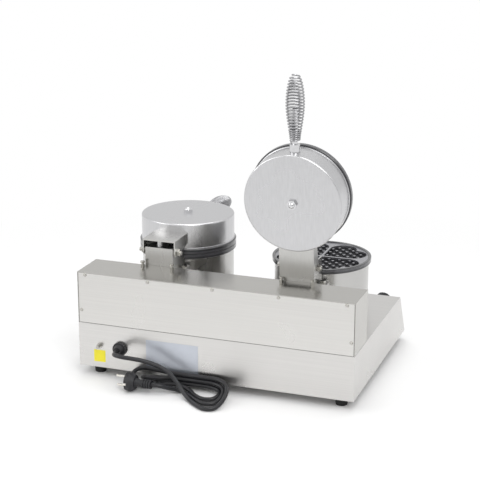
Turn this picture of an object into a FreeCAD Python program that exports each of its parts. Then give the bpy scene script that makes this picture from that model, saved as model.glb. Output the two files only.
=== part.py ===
import FreeCAD, Part
import math
import os
import re
import Sketcher
from FreeCAD import Placement, Rotation, Vector

# Twin heart waffle iron. X runs along its width with the operator's right at +X, +Y points at its rear
# and +Z up. It stands on z = 0, and the origin is the middle of its footprint.

SIZES = {
    # Base shell, with its sloping front panel and its feet
    "base_width": 560,
    "base_height": 89.2,
    "deck_depth": 358.8,
    "panel_run": 49.5,
    "rear_face_y": 234,
    "shell_sheet": 1.2,
    "bottom_flange": 14,
    "bottom_sheet": 1.2,
    "bottom_inset": 3,
    "edge_screw_inset": 7.7,
    "foot_height": 20,
    "foot_top_radius": 13,
    "foot_floor_radius": 11,
    "foot_side_inset": 31,
    "foot_end_inset": 30,
    "foot_recess_radius": 5.5,
    "foot_recess_depth": 9,
    "foot_screw_reach": 5,
    "screw_seat_gap": 0.02,
    # Rear housing and its panel
    "housing_depth": 86,
    "housing_height": 103.7,
    "panel_flange": 13,
    "panel_gap": 0.3,
    "panel_screw_inset": 16.6,
    "panel_screw_drop": 5.4,
    "side_screw_inset": 7,
    "side_screw_rise": 26.3,
    "wiring_hole_radius": 16,
    # Screws
    "screw_head_radius": 3.6,
    "screw_head_top_radius": 2.9,
    "screw_head_height": 1.8,
    "screw_radius": 2,
    "screw_length": 9,
    "screw_clearance": 0.25,
    # Heads
    "head_pitch": 286.8,
    "head_back": 242.3,
    "drum_radius": 93.8,
    "drum_drop": 1.9,
    "drum_sheet": 1,
    "drum_flange": 14,
    "rim_radius": 98.8,
    "rim_height": 9.9,
    "rim_width": 5.3,
    "rim_bevel": 1.2,
    "land_drop": 2.3,
    "spigot_depth": 6,
    "spigot_clearance": 0.6,
    "plate_gap": 0.4,
    "divider_width": 4.5,
    "lobe_radius": 27,
    "lobe_reach": 91,
    "tip_radius": 5,
    "heart_depth": 7,
    "heart_draft": 1.2,
    "stud_pitch": 15,
    "first_stud_row": 17,
    "stud_width": 6.2,
    "stud_top_width": 4.6,
    "stud_height": 5,
    "stud_wall_gap": 0.3,
    "heater_radius": 82,
    "heater_height": 12,
    "heater_bore_radius": 7,
    "insulation_clearance": 1,
    # Lid covers
    "cover_radius": 94.85,
    "cover_height": 51.5,
    "cover_sheet": 1,
    "cover_corner": 3,
    "cover_lip": 1.2,
    "cover_lip_height": 2.4,
    "cover_stud_radius": 4,
    "cover_nut_flats": 17,
    "cover_nut_height": 5.5,
    "cover_dome_radius": 7,
    "cover_dome_sink": 2.1,
    # Hinges
    "pivot_back": 99.6,
    "pivot_rise": 19.2,
    "open_angle": 96.6,
    "arm_half_width": 34.3,
    "arm_sheet": 2.5,
    "arm_top": 25.6,
    "arm_tail": 13.9,
    "arm_tail_drop": 9.1,
    "arm_front_rise": 4.9,
    "arm_front_reach": 9,
    "arm_corner": 8,
    "weld_gap": 0.2,
    "bracket_half_width": 29,
    "bracket_sheet": 2,
    "bracket_front": 44.4,
    "bracket_back": 13.3,
    "bracket_top": 9.9,
    "bracket_drop": 40.1,
    "bracket_flange": 14,
    "bracket_bolt_forward": 30,
    "post_half_width": 45,
    "post_front": 43.4,
    "post_back": 2,
    "post_flange": 13,
    "pin_radius": 4,
    "pin_fit": 0.05,
    "pin_reach": 42.6,
    "pin_nut_reach": 45.7,
    "side_gap": 0.3,
    "washer_radius": 8,
    "nut_flats": 13,
    "nut_height": 5,
    "bolt_flats": 10,
    "bolt_head_height": 4,
    "bolt_radius": 3,
    "stop_spread": 31,
    "stop_radius": 2.5,
    "stop_head_radius": 4.5,
    "stop_head_height": 3.2,
    "stop_nut_flats": 8,
    "stop_nut_height": 3.6,
    "stop_gap": 0.3,
    "stop_screw_grip": 8,
    # Spring handles
    "handle_rise": 18.4,
    "handle_tilt": 5,
    "ferrule_radius": 9.7,
    "ferrule_length": 14,
    "root_nut_gap": 1.1,
    "root_room_radius": 8.5,
    "root_room_depth": 16,
    "grip_rod_radius": 5,
    "grip_rod_length": 80,
    "wire_diameter": 3,
    "wire_start_radius": 7.6,
    "coil_neck_radius": 9,
    "coil_belly_radius": 16.5,
    "coil_tip_radius": 5,
    "coil_length": 129,
    "tight_curls": 5,
    "open_curls": 18,
    "tight_pitch": 3.7,
    "coil_lead": 7.2,
    "coil_belly_share": 0.6,
    # Controls in the sloping panel
    "control_side_inset": 42,
    "control_spread": 94.6,
    "control_drop": 27,
    "knob_radius": 19,
    "knob_skirt_height": 4,
    "knob_grip_radius": 14.5,
    "knob_height": 20,
    "knob_gap": 0.8,
    "knob_edge": 1.5,
    "spindle_radius": 3,
    "spindle_fit": 0.05,
    "spindle_room": 2,
    "spindle_length": 14,
    "control_width": 42,
    "thermostat_depth": 26,
    "timer_depth": 34,
    "rocker_radius": 10,
    "rocker_width": 16,
    "rocker_angle": 8,
    "rocker_dish": 2.6,
    "rocker_rise": 1.2,
    "rocker_gap": 0.4,
    "rocker_pin_radius": 1.6,
    "frame_wall": 2.6,
    "frame_lip": 2.4,
    "frame_lip_height": 2,
    "frame_depth": 22,
    "lamp_spread": 40,
    "lamp_radius": 5,
    "lamp_tip_radius": 3.5,
    "lamp_bezel_radius": 7.5,
    "lamp_bezel_height": 2,
    "lamp_lens_height": 5.5,
    "lamp_body_length": 22,
    # Rear face of the base
    "rating_plate_x": 83,
    "rating_plate_z": 41,
    "rating_plate_width": 108,
    "rating_plate_height": 58,
    "rating_plate_sheet": 0.5,
    "label_x": 236.3,
    "label_z": 23.7,
    "label_side": 24.6,
    "label_sheet": 0.2,
    "terminal_x": 236,
    "terminal_z": 45,
    "terminal_radius": 3,
    "terminal_reach": 12,
    "terminal_nut_flats": 10,
    "terminal_nut_height": 5,
    "gland_x": 192,
    "gland_z": 44,
    "gland_thread_radius": 8,
    "gland_flange_radius": 13.5,
    "gland_flange_height": 7,
    "gland_dome_radius": 11.5,
    "gland_reach": 16,
    "gland_tip_radius": 7.5,
    "gland_nut_flats": 24,
    "gland_nut_height": 5,
    "block_width": 60,
    "block_depth": 22,
    "block_height": 18,
    "block_offset": 55,
    "block_screw_height": 4,
    "block_screw_pitch": 18,
    # Cord and plug
    "cord_diameter": 8.5,
    "floor_lift": 0.1,
    "cord_straight": 15,
    "plug_face_x": 158,
    "plug_y": 47,
    "plug_radius": 19,
    "plug_back_radius": 13.7,
    "plug_head_length": 19,
    "plug_neck_radius": 9,
    "plug_neck_length": 32,
    "plug_bevel": 1.5,
    "plug_floor_gap": 0.1,
    "plug_pin_radius": 2.4,
    "plug_pin_length": 19,
    "plug_pin_root_radius": 1.9,
    "plug_pin_spread": 9.5,
    "earth_clip_width": 4.6,
    "earth_clip_sheet": 0.8,
    "earth_clip_length": 16,
    "relief_radius": 6.6,
    "relief_length": 23,
    "relief_rib_width": 3.2,
}

# Places that follow from the sizes
PLACES = {
    "half_width": "base_width / 2",
    "deck_z": "foot_height + base_height",
    "housing_top_z": "foot_height + base_height + housing_height",
    "deck_front_y": "rear_face_y - deck_depth",
    "toe_y": "rear_face_y - deck_depth - panel_run",
    "lean": "atan(panel_run / base_height)",
    "control_y": "rear_face_y - deck_depth - control_drop * sin(atan(panel_run / base_height))",
    "control_z": "foot_height + base_height - control_drop * cos(atan(panel_run / base_height))",
    "head_x": "head_pitch / 2",
    "head_y": "rear_face_y - head_back",
    "drum_height": "housing_height - drum_drop",
    "parting_z": "foot_height + base_height + housing_height - drum_drop + rim_height",
    "plate_depth": "rim_height + spigot_depth",
    "spigot_radius": "drum_radius - drum_sheet - spigot_clearance",
    "lid_spigot_radius": "cover_radius - cover_sheet - spigot_clearance",
    "pivot_y": "rear_face_y - pivot_back",
    "pivot_z": "foot_height + base_height + housing_height - drum_drop + rim_height + pivot_rise",
    "pivot_reach": "head_back - pivot_back",
    "lid_parting": "plate_gap - pivot_rise",
    "cover_bottom": "plate_gap - pivot_rise + rim_height",
    "cover_top": "plate_gap - pivot_rise + rim_height + cover_height",
    "bracket_foot_z": "foot_height + base_height + housing_height - drum_drop + rim_height + pivot_rise"
                      " - bracket_drop",
    "stop_y": "rear_face_y - pivot_back + arm_top * sin(open_angle) + arm_tail * cos(open_angle)"
              " - arm_sheet / 2",
    "stop_top_z": "foot_height + base_height + housing_height - drum_drop + rim_height + pivot_rise"
                  " - arm_tail * sin(open_angle) + arm_top * cos(open_angle) - stop_gap",
}

X_AXIS = Vector(1, 0, 0)
Y_AXIS = Vector(0, 1, 0)
Z_AXIS = Vector(0, 0, 1)

doc = FreeCAD.newDocument("HeartWaffleIron")
sheet = doc.addObject("Spreadsheet::Sheet", "Sizes")
for row, (size_name, size) in enumerate(SIZES.items(), 1):
    sheet.set("A%d" % row, size_name)
    sheet.set("B%d" % row, str(size))
    sheet.setAlias("B%d" % row, size_name)
doc.recompute()

PLACE_WORDS = re.compile(r"\b(%s)\b" % "|".join(PLACES))
SIZE_WORDS = re.compile(r"\b(%s)\b" % "|".join(SIZES))
nodes = {}


def bound(text):
    """Return an expression on the sheet for one written with the plain names of sizes and places."""
    text = PLACE_WORDS.sub(lambda found: "(%s)" % PLACES[found.group()], str(text))
    return SIZE_WORDS.sub(r"Sizes.\1", text)


def worth(text):
    """Return the number that an expression comes to."""
    number = sheet.evalExpression(bound(text))
    return float(getattr(number, "Value", number))


def bind(item, sizes):
    """Bind properties of an object to expressions."""
    for name, text in sizes.items():
        item.setExpression(name, bound(text))
    return item


def put(item, x="0", y="0", z="0", axis=None, angle=None):
    """Place an object by expressions, turned about an axis if one is given."""
    if axis is not None:
        item.Placement = Placement(Vector(), Rotation(axis, 90))
        bind(item, {"Placement.Rotation.Angle": angle})
    return bind(item, {"Placement.Base.x": x, "Placement.Base.y": y, "Placement.Base.z": z})


def node(name, item):
    """Name an object as a finished sub-part."""
    item.Label = name
    nodes[name] = item
    return item


# Building blocks

def box(x, y, z, width, depth, height):
    """Return a box centred on x, with its least y and z corner at the given place."""
    item = doc.addObject("Part::Box", "Block")
    bind(item, {"Length": width, "Width": depth, "Height": height})
    return put(item, "(%s) - (%s) / 2" % (x, width), y, z)


def cylinder(radius, height, x="0", y="0", z="0", axis=None, angle=None):
    """Return a round bar that starts at a place and grows along +Z, or along Z as turned."""
    item = doc.addObject("Part::Cylinder", "Bar")
    bind(item, {"Radius": radius, "Height": height})
    return put(item, x, y, z, axis, angle)


def cone(low_radius, high_radius, height, x="0", y="0", z="0", axis=None, angle=None):
    """Return a tapered bar that starts at a place."""
    item = doc.addObject("Part::Cone", "Taper")
    bind(item, {"Radius1": low_radius, "Radius2": high_radius, "Height": height})
    return put(item, x, y, z, axis, angle)


def hexagon(flats, height, x="0", y="0", z="0", axis=None, angle=None):
    """Return a hexagonal bar by its width across flats."""
    item = doc.addObject("Part::Prism", "Hexagon")
    item.Polygon = 6
    bind(item, {"Circumradius": "(%s) / 2 / cos(30)" % flats, "Height": height})
    return put(item, x, y, z, axis, angle)


def fuse(*items):
    """Return one solid made of touching ones."""
    item = doc.addObject("Part::MultiFuse", "Joined")
    item.Shapes = list(items)
    item.Refine = True
    return item


def cut(base, *tools):
    """Return a solid with other solids taken out of it."""
    item = doc.addObject("Part::Cut", "Cut")
    item.Base = base
    item.Tool = tools[0] if len(tools) == 1 else group(*tools)
    return item


def group(*items):
    """Return separate solids held as one object."""
    item = doc.addObject("Part::Compound", "Group")
    item.Links = list(items)
    return item


def sketch(body, role, points):
    """Draw a closed outline of straight lines on one of a body's own planes."""
    item = body.newObject("Sketcher::SketchObject", "Outline")
    plane = [part for part in body.Origin.OriginFeatures if part.Role == role][0]
    item.AttachmentSupport = [(plane, "")]
    item.MapMode = "FlatFace"
    spots = [Vector(worth(across), worth(up), 0) for across, up in points]
    for start, end in zip(spots, spots[1:] + spots[:1]):
        item.addGeometry(Part.LineSegment(start, end))
    for line in range(len(points)):
        item.addConstraint(Sketcher.Constraint("Coincident", line, 2, (line + 1) % len(points), 1))
    for line, pair in enumerate(points):
        for kind, text in zip(("DistanceX", "DistanceY"), pair):
            mark = item.addConstraint(Sketcher.Constraint(kind, -1, 1, line, 1, worth(text)))
            item.setExpression("Constraints[%d]" % mark, bound(text))
    return item


def prism(role, points, length):
    """Return a body padded both ways from an outline."""
    body = doc.addObject("PartDesign::Body", "Body")
    pad = body.newObject("PartDesign::Pad", "Pad")
    pad.Profile = sketch(body, role, points)
    pad.SideType = "Symmetric"
    bind(pad, {"Length": length})
    body.Tip = pad
    return body


def pocket(body, role, points, length):
    """Take an outline, both ways from its plane, out of a body."""
    doc.recompute()
    before = body.Shape.Volume
    item = body.newObject("PartDesign::Pocket", "Pocket")
    item.Profile = sketch(body, role, points)
    item.SideType = "Symmetric"
    bind(item, {"Length": length})
    body.Tip = item
    doc.recompute()
    if body.Shape.Volume > before - 1:
        raise RuntimeError("A pocket of %s takes nothing away" % body.Label)
    return body


def turned(points):
    """Return a body turned about Z from an outline of radii and heights."""
    body = doc.addObject("PartDesign::Body", "Body")
    item = body.newObject("PartDesign::Revolution", "Turning")
    outline = sketch(body, "XZ_Plane", points)
    item.Profile = outline
    item.ReferenceAxis = (outline, ["V_Axis"])
    item.Angle = 360
    body.Tip = item
    return body


def rounded(body, radius, wanted):
    """Round the edges of a body that a test picks out."""
    doc.recompute()
    base = body.Tip
    names = ["Edge%d" % (index + 1) for index, edge in enumerate(base.Shape.Edges) if wanted(edge)]
    item = body.newObject("PartDesign::Fillet", "Round")
    item.Base = (base, names)
    bind(item, {"Radius": radius})
    body.Tip = item
    return body


def circle_at(radius, height):
    """Return a test for whole circles of a radius at a height."""
    def test(edge):
        curve = edge.Curve
        return (isinstance(curve, Part.Circle) and abs(curve.Radius - worth(radius)) < 1e-3
                and abs(curve.Center.z - worth(height)) < 1e-3)
    return test


def screw(x, y, z, axis=None, angle=None, length="screw_length"):
    """Return a pan-head screw whose head stands on a face and whose shank goes the other way."""
    head = cone("screw_head_radius", "screw_head_top_radius", "screw_head_height")
    shank = cylinder("screw_radius", length, z="0 - (%s)" % length)
    return put(fuse(head, shank), x, y, z, axis, angle)


def bolt(x, y, z, length):
    """Return a hexagon-head bolt whose head stands on a level face."""
    head = hexagon("bolt_flats", "bolt_head_height")
    shank = cylinder("bolt_radius", length, z="0 - (%s)" % length)
    return put(fuse(head, shank), x, y, z)


# Base shell: a folded box with a sloping front, an in-turned bottom flange and holes for what it carries

TOWARDS_REAR = (X_AXIS, "-90")
TOWARDS_PANEL = (X_AXIS, "90 - lean / 1deg")

shell = prism("YZ_Plane", [
    ("0", "0"),
    ("0", "base_height"),
    ("0 - deck_depth", "base_height"),
    ("0 - deck_depth - panel_run", "0"),
], "base_width")
pocket(shell, "YZ_Plane", [
    ("0 - shell_sheet", "shell_sheet"),
    ("0 - shell_sheet", "base_height - shell_sheet"),
    ("0 - deck_depth + shell_sheet * (1 - sin(lean)) / cos(lean)", "base_height - shell_sheet"),
    ("0 - deck_depth - panel_run + shell_sheet * (1 + sin(lean)) / cos(lean)", "shell_sheet"),
], "base_width - 2 * shell_sheet")
pocket(shell, "XY_Plane", [
    ("bottom_flange - half_width", "0 - bottom_flange"),
    ("half_width - bottom_flange", "0 - bottom_flange"),
    ("half_width - bottom_flange", "bottom_flange - deck_depth - panel_run"),
    ("bottom_flange - half_width", "bottom_flange - deck_depth - panel_run"),
], "2.5 * shell_sheet")
put(shell, "0", "rear_face_y", "foot_height")


def panel_hole(x, radius, drop="control_drop"):
    """Return a round cutter square through the sloping panel."""
    return cylinder(radius, "6 * shell_sheet", x,
                    "deck_front_y - (%s) * sin(lean) + 3 * shell_sheet * cos(lean)" % drop,
                    "deck_z - (%s) * cos(lean) - 3 * shell_sheet * sin(lean)" % drop, *TOWARDS_PANEL)


def on_panel(item, x):
    """Place an object with its z = 0 on the sloping panel's outside, in line with the controls."""
    return put(item, x, "control_y", "control_z", *TOWARDS_PANEL)


def rear_hole(radius, x, z):
    """Return a round cutter through the base shell's rear wall."""
    return cylinder(radius, "6 * shell_sheet", x, "rear_face_y - 3 * shell_sheet", z, *TOWARDS_REAR)


# Where each head stands, and where the feet and the bottom plate's screws are
HEADS = {"right": "head_x", "left": "0 - head_x"}
OUTER_CONTROLS = {"right": "half_width - control_side_inset", "left": "control_side_inset - half_width"}
INNER_CONTROLS = {"right": "head_x - control_spread", "left": "control_spread - head_x"}
EDGE_SHARES = (0.25, 0.5, 0.75)
feet = [("(%s) * (half_width - foot_side_inset)" % side, end) for side in (1, -1)
        for end in ("rear_face_y - foot_end_inset", "toe_y + foot_end_inset")]
edge_screws = [("(%s) * (half_width - edge_screw_inset)" % side,
                "rear_face_y - (deck_depth + panel_run) * %s" % share)
               for side in (1, -1) for share in EDGE_SHARES]
gland_height = "foot_height + gland_z"
terminal_height = "foot_height + terminal_z"
holes = [
    rear_hole("gland_thread_radius + screw_clearance", "gland_x", gland_height),
    rear_hole("terminal_radius + screw_clearance", "terminal_x", terminal_height),
    cylinder("wiring_hole_radius", "6 * shell_sheet", "0", "rear_face_y - housing_depth / 2",
             "deck_z - 3 * shell_sheet"),
]
for spot in (*OUTER_CONTROLS.values(), *INNER_CONTROLS.values()):
    holes.append(panel_hole(spot, "spindle_radius + spindle_room"))
for centre in HEADS.values():
    holes.append(cylinder("wiring_hole_radius", "6 * shell_sheet", centre, "head_y",
                          "deck_z - 3 * shell_sheet"))
    for offset in ("lamp_spread", "0 - lamp_spread"):
        holes.append(panel_hole("(%s) + (%s)" % (centre, offset), "lamp_radius + screw_clearance"))
    window = box("0", "0 - rocker_radius - frame_wall - rocker_gap", "-4 * shell_sheet",
                 "rocker_width + 2 * rocker_gap + 2 * frame_wall",
                 "2 * (rocker_radius + frame_wall + rocker_gap)", "8 * shell_sheet")
    holes.append(on_panel(group(window), centre))
    for side in ("post_half_width + post_flange / 2", "0 - post_half_width - post_flange / 2"):
        holes.append(cylinder("bolt_radius + screw_clearance", "6 * shell_sheet",
                              "(%s) + (%s)" % (centre, side),
                              "pivot_y - (post_front + post_back) / 2", "deck_z - 3 * shell_sheet"))
holes += [cylinder("screw_radius + screw_clearance", "4 * shell_sheet", x, y,
                   "foot_height - shell_sheet") for x, y in edge_screws]
node("base_shell", cut(shell, *holes))

# Bottom plate under the shell's flange, with its screws
plate_holes = [cylinder("screw_radius + screw_clearance", "bottom_sheet * 3", x, y,
                        "foot_height - 2 * bottom_sheet") for x, y in feet + edge_screws]
node("bottom_plate", cut(
    box("0", "toe_y + bottom_inset", "foot_height - bottom_sheet", "base_width - 2 * bottom_inset",
        "deck_depth + panel_run - 2 * bottom_inset", "bottom_sheet"), *plate_holes))

# Rubber feet with a recess for the screw
foot_solids = []
foot_screws = []
for x, y in feet:
    rubber = cone("foot_floor_radius", "foot_top_radius", "foot_height - bottom_sheet", x, y)
    recess = cylinder("foot_recess_radius", "foot_recess_depth * 2", x, y, "0 - foot_recess_depth")
    bore = cylinder("screw_radius + screw_clearance", "foot_height", x, y)
    foot_solids.append(cut(rubber, fuse(recess, bore)))
    foot_screws.append(screw(x, y, "foot_recess_depth - screw_seat_gap", X_AXIS, "180",
                             "foot_height - foot_recess_depth + foot_screw_reach"))
node("rubber_feet", group(*foot_solids))
node("bottom_screws", group(*foot_screws, *[
    screw(x, y, "foot_height - bottom_sheet", X_AXIS, "180") for x, y in edge_screws]))

# Rear housing on the deck: a front, a top and two ends, welded edge to edge, and the frame behind them
# that its panel screws to
inner_width = "base_width - 2 * shell_sheet"
behind_front = "rear_face_y - housing_depth + shell_sheet"
housing_front = box("0", "rear_face_y - housing_depth", "deck_z", "base_width", "shell_sheet",
                    "housing_height")
housing_ends = [box("(%s) * (half_width - shell_sheet / 2)" % side, behind_front, "deck_z", "shell_sheet",
                    "housing_depth - shell_sheet", "housing_height - shell_sheet") for side in (1, -1)]
housing_top = box("0", behind_front, "housing_top_z - shell_sheet", "base_width",
                  "housing_depth - shell_sheet", "shell_sheet")
panel_screws = [("(%s) * (half_width - panel_screw_inset)" % share, "housing_top_z - panel_screw_drop")
                for share in (-1, -0.5, 0, 0.5, 1)]
panel_screws += [("(%s) * (half_width - side_screw_inset)" % side, "deck_z + side_screw_rise")
                 for side in (1, -1)]
stops = [("(%s) + (%s)" % (centre, side), "stop_y") for centre in HEADS.values()
         for side in ("stop_spread", "0 - stop_spread")]
stop_holes = [cylinder("stop_radius + screw_clearance", "4 * shell_sheet", x, y,
                       "housing_top_z - 2 * shell_sheet") for x, y in stops]
node("rear_housing", group(housing_front, *housing_ends, cut(housing_top, *stop_holes)))


def panel_screw_holes():
    """Return the cutters for the panel's screws, through the panel and the frame behind it."""
    return [cylinder("screw_radius + screw_clearance", "6 * shell_sheet", x,
                     "rear_face_y - 5 * shell_sheet", z, *TOWARDS_REAR) for x, z in panel_screws]


frame_sheet = box("0", "rear_face_y - 2 * shell_sheet", "deck_z", inner_width, "shell_sheet",
                  "housing_height - shell_sheet")
frame_opening = box("0", "rear_face_y - 3 * shell_sheet", "deck_z - 1",
                    inner_width + " - 2 * panel_flange", "3 * shell_sheet",
                    "housing_height + 1 - shell_sheet - panel_flange")
node("panel_frame", cut(frame_sheet, frame_opening, *panel_screw_holes()))

rear_sheet = box("0", "rear_face_y - shell_sheet", "deck_z + panel_gap", inner_width + " - 2 * panel_gap",
                 "shell_sheet", "housing_height - shell_sheet - 2 * panel_gap")
node("rear_panel", cut(rear_sheet, *panel_screw_holes()))
node("rear_panel_screws", group(*[
    screw(x, "rear_face_y", z, *TOWARDS_REAR) for x, z in panel_screws]))

# What the rear wall of the base carries
node("rating_plate", box("rating_plate_x", "rear_face_y",
                         "foot_height + rating_plate_z - rating_plate_height / 2",
                         "rating_plate_width", "rating_plate_sheet", "rating_plate_height"))
node("yellow_label", box("label_x", "rear_face_y", "foot_height + label_z - label_side / 2", "label_side",
                         "label_sheet", "label_side"))
stud = cylinder("terminal_radius", "2 * terminal_reach", z="0 - terminal_reach")
terminal_nut = hexagon("terminal_nut_flats", "terminal_nut_height")
node("ground_terminal", put(fuse(stud, terminal_nut), "terminal_x", "rear_face_y", terminal_height,
                            *TOWARDS_REAR))

gland = fuse(
    cylinder("gland_thread_radius", "3 * shell_sheet + gland_nut_height",
             z="0 - 3 * shell_sheet - gland_nut_height"),
    cylinder("gland_flange_radius", "gland_flange_height"),
    cone("gland_dome_radius", "gland_tip_radius", "gland_reach - gland_flange_height",
         z="gland_flange_height"))
node("cable_gland", put(gland, "gland_x", "rear_face_y", gland_height, *TOWARDS_REAR))
ring = cut(hexagon("gland_nut_flats", "gland_nut_height"),
           cylinder("gland_thread_radius + screw_clearance", "3 * gland_nut_height",
                    z="0 - gland_nut_height"))
node("gland_nut", put(ring, "gland_x", "rear_face_y - shell_sheet - gland_nut_height", gland_height,
                      *TOWARDS_REAR))
block = box("gland_x - block_offset", "rear_face_y - shell_sheet - block_depth", gland_height,
            "block_width", "block_depth", "block_height")
terminals = [cylinder("screw_radius", "block_screw_height",
                      "gland_x - block_offset + block_screw_pitch * (%d)" % step,
                      "rear_face_y - shell_sheet - block_depth / 2",
                      gland_height + " + block_height - block_screw_height / 2") for step in (-1, 0, 1)]
node("terminal_block", fuse(block, *terminals))

# Four hearts, tips together, each with its studs: the shape that is cut out of a baking plate

CUTTER_LIFT = 2


def heart_wire(inset, height):
    """Return one heart's outline, drawn in by an inset, at a height; its axis is +X."""
    half = math.sqrt(0.5)
    wall = worth("divider_width") / 2
    reach = worth("lobe_reach - lobe_radius")
    swing = math.radians(45) - math.asin((worth("lobe_radius") + wall) / reach)
    lobe = Vector(reach * math.cos(swing), reach * math.sin(swing), height)
    lobe_radius = worth("lobe_radius") - inset
    tip_radius = worth("tip_radius") - inset
    tip = Vector((wall + worth("tip_radius")) / half, 0, height)
    notch = Vector(lobe.x + math.sqrt(lobe_radius ** 2 - lobe.y ** 2), 0, height)
    middle = (math.radians(135) - math.asin(lobe.y / lobe_radius)) / 2
    over = Vector(1, -1, 1)

    def flipped(point):
        return Vector(point.x * over.x, point.y * over.y, point.z)

    tip_side = tip + Vector(-half, half, 0) * tip_radius
    lobe_side = lobe + Vector(-half, half, 0) * lobe_radius
    lobe_top = lobe + Vector(math.cos(middle), math.sin(middle), 0) * lobe_radius
    edges = [
        Part.Arc(flipped(tip_side), tip - Vector(tip_radius, 0, 0), tip_side).toShape(),
        Part.LineSegment(tip_side, lobe_side).toShape(),
        Part.Arc(lobe_side, lobe_top, notch).toShape(),
        Part.Arc(notch, flipped(lobe_top), flipped(lobe_side)).toShape(),
        Part.LineSegment(flipped(lobe_side), flipped(tip_side)).toShape(),
    ]
    return Part.Wire(edges), lobe


def square_wire(width, x, y, height):
    """Return a square outline about a point."""
    corners = [Vector(x + a * width / 2, y + b * width / 2, height)
               for a, b in ((-1, -1), (1, -1), (1, 1), (-1, 1), (-1, -1))]
    return Part.makePolygon(corners)


def heart_cutter(up):
    """Return the four hearts' cavity, opening towards up (1 or -1) from a land at z = 0."""
    depth = worth("heart_depth")
    foot = worth("heart_depth - stud_height")
    draft = worth("heart_draft")
    top, lobe = heart_wire(0, 0)
    low, _ = heart_wire(draft, -up * depth)
    cap, _ = heart_wire(0, up * CUTTER_LIFT)
    heart = Part.makeLoft([low, top], True, True).fuse(Part.makeLoft([top, cap], True, True))
    pitch = worth("stud_pitch")
    width = worth("stud_width")
    room = width / 2 + worth("stud_wall_gap")
    studs = []
    rows = int((worth("lobe_reach") - worth("first_stud_row")) // pitch) + 1
    for step in range(rows):
        along = worth("first_stud_row") + step * pitch
        for count in range(-rows, rows):
            across = (count + 0.5) * pitch
            side = (along - abs(across)) * math.sqrt(0.5) - worth("divider_width") / 2
            off_lobe = math.hypot(along - lobe.x, abs(across) - lobe.y)
            near_tip = along + abs(across) <= lobe.x + lobe.y
            if side >= room and (near_tip or off_lobe <= worth("lobe_radius") - room):
                studs.append(Part.makeLoft([
                    square_wire(width, along, across, -up * (depth + 1)),
                    square_wire(worth("stud_top_width"), along, across, -up * foot)], True, True))
    heart = heart.cut(Part.makeCompound(studs))
    turned_hearts = []
    for quarter in range(4):
        copy = heart.copy()
        copy.rotate(Vector(), Z_AXIS, 45 + 90 * quarter)
        turned_hearts.append(copy)
    item = doc.addObject("Part::Feature", "Hearts")
    item.Shape = Part.makeCompound(turned_hearts)
    return item


def baking_plate(up, spigot_radius):
    """Return a cast plate whose rim's face is at z = 0 and whose hearts open towards up (1 or -1)."""
    sign = "" if up == 1 else "0 - "
    blank = turned([("0", "(%s(0 - plate_depth))" % sign), (spigot_radius, "(%s(0 - plate_depth))" % sign),
                    (spigot_radius, "(%s(0 - rim_height))" % sign),
                    ("rim_radius - rim_bevel", "(%s(0 - rim_height))" % sign),
                    ("rim_radius", "(%s(rim_bevel - rim_height))" % sign),
                    ("rim_radius", "(%s(0 - rim_bevel / 2))" % sign),
                    ("rim_radius - rim_bevel / 2", "0"), ("rim_radius - rim_width", "0"),
                    ("rim_radius - rim_width - land_drop / 2", "(%s(0 - land_drop))" % sign),
                    ("0", "(%s(0 - land_drop))" % sign)])
    hearts = heart_cutter(up)
    return cut(blank, put(hearts, z="%s(0 - land_drop)" % sign))


# Baking heads: what stands on the deck

def lidded(item, side):
    """Place an object modelled round a lid's own axis, with z = 0 at the hinge's height."""
    if side == "right":
        return put(item, HEADS[side], "head_y", "pivot_z")
    return put(item, HEADS[side], "pivot_y - pivot_reach * cos(open_angle)",
               "pivot_z + pivot_reach * sin(open_angle)", Vector(-1, 0, 0), "open_angle")


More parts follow.
